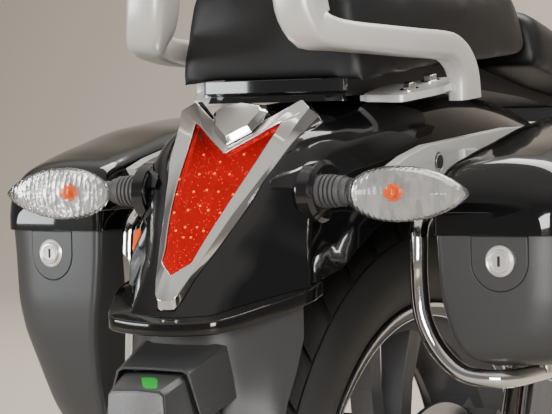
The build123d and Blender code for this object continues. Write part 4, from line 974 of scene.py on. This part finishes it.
# Chrome guard tubes, bent smoothly, and the clamp block at each low end
TUBES = {
    "right": [(160, -128, 352), (160, -170, 344), (160, -204, 326), (161, -211, 300), (161, -211, 269),
              (165, -211, 238), (180, -211, 210), (203, -211, 191), (231, -209, 186.5), (247, -196, 186.5),
              (250, -150, 186.5), (250, -120, 186.5)],
    "left": [(160, -128, 352), (160, -170, 344), (160, -204, 326), (161, -211, 300), (160, -211, 262),
             (161, -210, 225), (166, -206, 180), (176, -198, 135), (192, -188, 100), (216, -172, 92.5),
             (226, -150, 92.5), (226, -100, 92.5)]}
TUBE_R = 8.5
FEET = {"right": (239, 261, -150, -124, 186, 197.7), "left": (215, 237, -130, -104, 92, 103.7)}


def bent(points, steps=8):
    """Catmull-Rom path through points."""
    out = []
    for i in range(len(points) - 1):
        p = [Vector(points[max(0, min(len(points) - 1, i + k))]) for k in (-1, 0, 1, 2)]
        for k in range(steps):
            t = k / steps
            out.append(0.5 * (2 * p[1] + (p[2] - p[0]) * t + (2 * p[0] - 5 * p[1] + 4 * p[2] - p[3]) * t * t
                              + (3 * p[1] - p[0] - 3 * p[2] + p[3]) * t ** 3))
    return [tuple(v) for v in out] + [tuple(points[-1])]


for sign, side in SIDES:
    pipe = tube(bent([(sign * x, y, z) for x, y, z in TUBES[side]]), TUBE_R, 20)
    x0, x1, y0, y1, z0, z1 = FEET[side]
    clamp = prism(eased([(x0, y0), (x1, y0), (x1, y1), (x0, y1)], [4] * 4, 4, True), (z0, z1), sign)
    add_piece("guard_pipe_" + side, joined(pipe, clamp), "guard_tube_" + side, angle=40)

# Amber glowing patch on the left flank only: a painted reflection of the indicator's amber bulb in the paint
bulb_reflection_patch = eased([(-293, 302), (-284, 303), (-279, 323), (-288, 322)], [3] * 4, 4, True)
add_piece("painted_bulb_reflection_left", loft([[(x, y, z) for y, z in bulb_reflection_patch] for x in (-92.0, -100.5)]),
          "rear_fender", FINISH["amber"], angle=40, stands=False)

# Machined edge of the rim on both sides
RIM_LIP = [(57.6, 231.3), (56.9, 232.2), (53.6, 232.9), (53.4, 231.8), (56.3, 230.4), (55.6, 227.6), (56.4, 227.4),
           (57.4, 229.8)]
RIM_BEAD = [(52.2, 219.8), (53.2, 219.2), (52.9, 217.9), (51.7, 218.2)]
for sign, side in SIDES:
    edge = joined(lathe(RIM_LIP, sign), lathe(RIM_BEAD, sign))
    add_piece("rim_edge_" + side, edge, "wheel_casting", RIM_METAL, angle=40, stands=False)

# Seats: covered foam
COVER_CAP, COVER_START, COVER_VOXEL = 6.0, 1.5, 5.0
COVER_PRESSURE, COVER_FRAMES, UNDERSIDE = 1.0, 20, -0.6


def blown_up(name, mesh, under):
    """Cloth cover of a pad, with its underside seated; each point moves up to the cap."""
    rest = [v.co.copy() for v in mesh.vertices]
    pad = placed(name + "_pad", mesh)
    seated = pad.vertex_groups.new(name="seated")
    seated.add([i for i, flat in enumerate(under) if flat], 1.0, "REPLACE")
    cloth = pad.modifiers.new("cover", "CLOTH")
    cloth.settings.vertex_group_mass = "seated"
    cloth.settings.use_pressure = True
    cloth.settings.uniform_pressure_force = COVER_PRESSURE
    cloth.settings.effector_weights.gravity = 0.0
    cloth.settings.quality = 4
    cloth.point_cache.frame_start, cloth.point_cache.frame_end = 1, COVER_FRAMES
    scene = bpy.context.scene
    for f in range(1, COVER_FRAMES + 1):
        scene.frame_set(f)
    blown = evaluated(pad)
    scene.frame_set(1)
    for v, p, flat in zip(blown.vertices, rest, under):
        step = v.co - p
        if flat:
            step.zero()
        elif step.length > COVER_CAP / 1000:
            step = step.normalized() * (COVER_CAP / 1000)
        v.co = p + step
    return blown


def cushion(node_name):
    """Padded cover: remeshed copy, blown out a little by cloth pressure, flat where it rests."""
    holder = placed(node_name + "_foam", merged(node_name, 0))
    remesh = holder.modifiers.new("even_mesh", "REMESH")
    remesh.mode, remesh.voxel_size = "VOXEL", COVER_VOXEL / 1000
    soft = holder.modifiers.new("soft_edges", "SMOOTH")
    soft.factor, soft.iterations = 0.5, 8
    mesh = evaluated(holder)
    bm = bmesh.new()
    bm.from_mesh(mesh)
    bm.normal_update()
    for v in bm.verts:
        if v.normal.z > UNDERSIDE:
            v.co -= v.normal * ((COVER_START / 1000))
    bm.to_mesh(mesh)
    bm.free()
    under = [v.normal.z <= UNDERSIDE for v in mesh.vertices]
    mesh = blown_up(node_name, mesh, under)
    bm = bmesh.new()
    bm.from_mesh(mesh)
    for k in range(3):
        bmesh.ops.smooth_vert(bm, verts=list(bm.verts), factor=0.5, use_axis_x=True, use_axis_y=True, use_axis_z=True)
    bmesh.ops.recalc_face_normals(bm, faces=bm.faces)
    bm.to_mesh(mesh)
    bm.free()
    all_smooth(mesh)
    piece = add_piece(node_name + "_cover", mesh, node_name)
    fine = piece.modifiers.new("fine", "SUBSURF")
    fine.levels = fine.render_levels = 1


cushion("pillion_seat")
cushion("rider_seat")

# Bolts, each with its turn from upright
OUT_R, OUT_L, ON_LUG = (0.0, pi / 2, 0.0), (0.0, -pi / 2, 0.0), (0.184, 0, 0)
RAIL_BOLT = bolt((9.5, 1.4, 24, 0.0, 1.0), (7.0, 5.5, 6, 1.4, 1.0), (6.02, 0.5, 6, 6.9, 0.8))
DISC_BOLT_R = 52
rail_bolts = [((s * 112, y, lug_z(y, LUG_T)), ON_LUG) for s in (-1, 1) for y in (-131, -88)]
strut_bolts = [((s * 148.2, -144, 380), OUT_R if s > 0 else OUT_L) for s in (-1, 1)]
disc_bolts = [((68.3, DISC_BOLT_R * cos(a), DISC_BOLT_R * sin(a)), OUT_R)
              for a in [radians(60 * k + 12) for k in range(6)]]
for name, spots, shape, finish, node_name in (
        ("rail_bolts", rail_bolts, RAIL_BOLT, FINISH["chrome"], "grab_rail"),
        ("strut_bolts", strut_bolts, cap_bolt(7.2, 2.2), FINISH["bright_steel"], "fender_strut_left"),
        ("disc_bolts", disc_bolts, cap_bolt(6.5, 3.0), FINISH["bright_steel"], "brake_disc")):
    add_piece(name, instanced(name, spots, shape, finish), node_name, stands=False)

# Every other node, as CAD made it with its edges rounded
UNROUNDED = ("tyre", "red_lens", "clear_lens", "vinyl", "reflector")
for node_name in sorted(NODES):
    if node_name not in DONE:
        dressed(node_name, 0.0 if NODE_SLOT[node_name] in UNROUNDED else 0.6)
    NODES[node_name].data.materials.clear()
    NODES[node_name].data.materials.append(FINISH[NODE_SLOT[node_name]])

# Floor that sweeps up into the backdrop
FLOOR_Z = at(0, 0, -CROWN_R).z
WALL_COLOR = (0.40, 0.36, 0.31)
SWEEP_FRONT, SWEEP_BACK, SWEEP_R, SWEEP_TOP, SWEEP_HALF = -9.0, 5.0, 2.0, 7.0, 12.0


def wall_material():
    material = new_material("studio_wall")
    tree, shader = shader_of(material)
    noise = node(tree, "ShaderNodeTexNoise", {"Scale": 0.6})
    ramp = node(tree, "ShaderNodeValToRGB", {"Fac": noise})
    for element, share in zip(ramp.color_ramp.elements, (0.94, 1.05)):
        element.color = (*[c * share for c in WALL_COLOR], 1)
    feed(tree, shader, {"Roughness": 0.8, "Base Color": ramp})
    return material


bm = bmesh.new()
profile = [(SWEEP_FRONT, 0.0), (SWEEP_BACK, 0.0)]
profile += [(SWEEP_BACK + SWEEP_R * sin(a), SWEEP_R - SWEEP_R * cos(a))
            for a in [radians(9 * k) for k in range(1, 11)]] + [(SWEEP_BACK + SWEEP_R, SWEEP_TOP)]
rows = [[bm.verts.new((x, y, z + FLOOR_Z)) for x in (-SWEEP_HALF, SWEEP_HALF)] for y, z in profile]
for a, b in zip(rows, rows[1:]):
    bm.faces.new((a[0], a[1], b[1], b[0]))
bm.normal_update()
mesh = mesh_of(bm)
all_smooth(mesh)
sweep = placed("studio_sweep", mesh)
sweep.data.materials.append(wall_material())

# Light: a hall that is bright above and dim at eye level
SKY = ((0.50, (0.30, 0.285, 0.27, 1)), (0.74, (0.24, 0.235, 0.23, 1)), (0.86, (0.95, 0.91, 0.86, 1)))
world = bpy.data.worlds.new("studio")
bpy.context.scene.world = world
world.use_nodes = True
sky = world.node_tree
direction = node(sky, "ShaderNodeTexCoord").outputs["Generated"]
height = node(sky, "ShaderNodeSeparateXYZ", {0: direction}).outputs["Z"]
shade = node(sky, "ShaderNodeValToRGB", {"Fac": maths(sky, "MULTIPLY_ADD", height, 0.5, 0.5)})
shade.color_ramp.elements.new(SKY[1][0])
for element, (position, color) in zip(shade.color_ramp.elements, SKY):
    element.position, element.color = position, color
feed(sky, sky.nodes["Background"], {"Color": shade, "Strength": 0.75})


def softbox(name, where, target, width, height, power, color):
    light = bpy.data.lights.new(name, "AREA")
    light.shape = "RECTANGLE"
    light.size, light.size_y = width, height
    light.energy = power
    light.color = color
    o = placed(name, light)
    o.location = where
    o.rotation_euler = (Vector(target) - Vector(where)).to_track_quat("-Z", "Y").to_euler()
    return o


softbox("overhead", (0.2, 0.55, 2.9), (0, -0.5, 0.0), 3.2, 1.6, 160, (1.0, 0.98, 0.95))
softbox("window_behind_left", (-3.6, -3.2, 0.35), (0, -0.7, 0.0), 2.2, 0.9, 85, (0.95, 0.98, 1.0))
softbox("window_behind", (1.5, -4.9, 0.6), (0.1, -0.7, 0.0), 1.4, 1.5, 170, (1.0, 0.99, 0.97))
softbox("right_side", (3.6, -0.8, 1.2), (0, -0.6, 0.0), 1.6, 2.0, 60, (1.0, 0.97, 0.93)).visible_glossy = False
softbox("wall_wash", (-1.5, 2.2, 3.4), (-1.5, 6.5, 0.6), 4.0, 1.0, 420, (1.0, 0.97, 0.93))

# Camera: lens and place from the fit to the photograph
PHOTO_WIDTH_PX, FOCAL_PX, SENSOR = 552, 2200.48, 36.0
RIGHT = (0.85100127, 0.52468104, -0.02250888)
UP = (-0.00373783, 0.04891102, 0.99879615)
BACK = (0.52515033, -0.84989265, 0.04358451)
CAMERA_AT = (1102.77, -1980.62, 430.83)
camera_data = bpy.data.cameras.new("photo_camera")
camera_data.sensor_width = SENSOR
camera_data.lens = SENSOR * FOCAL_PX / PHOTO_WIDTH_PX
camera_data.clip_end = 60.0
camera = placed("photo_camera", camera_data)
place = Matrix((RIGHT, UP, BACK)).transposed().to_4x4()
place.translation = at(*CAMERA_AT)
camera.matrix_world = place
bpy.context.scene.camera = camera

bpy.context.view_layer.update()
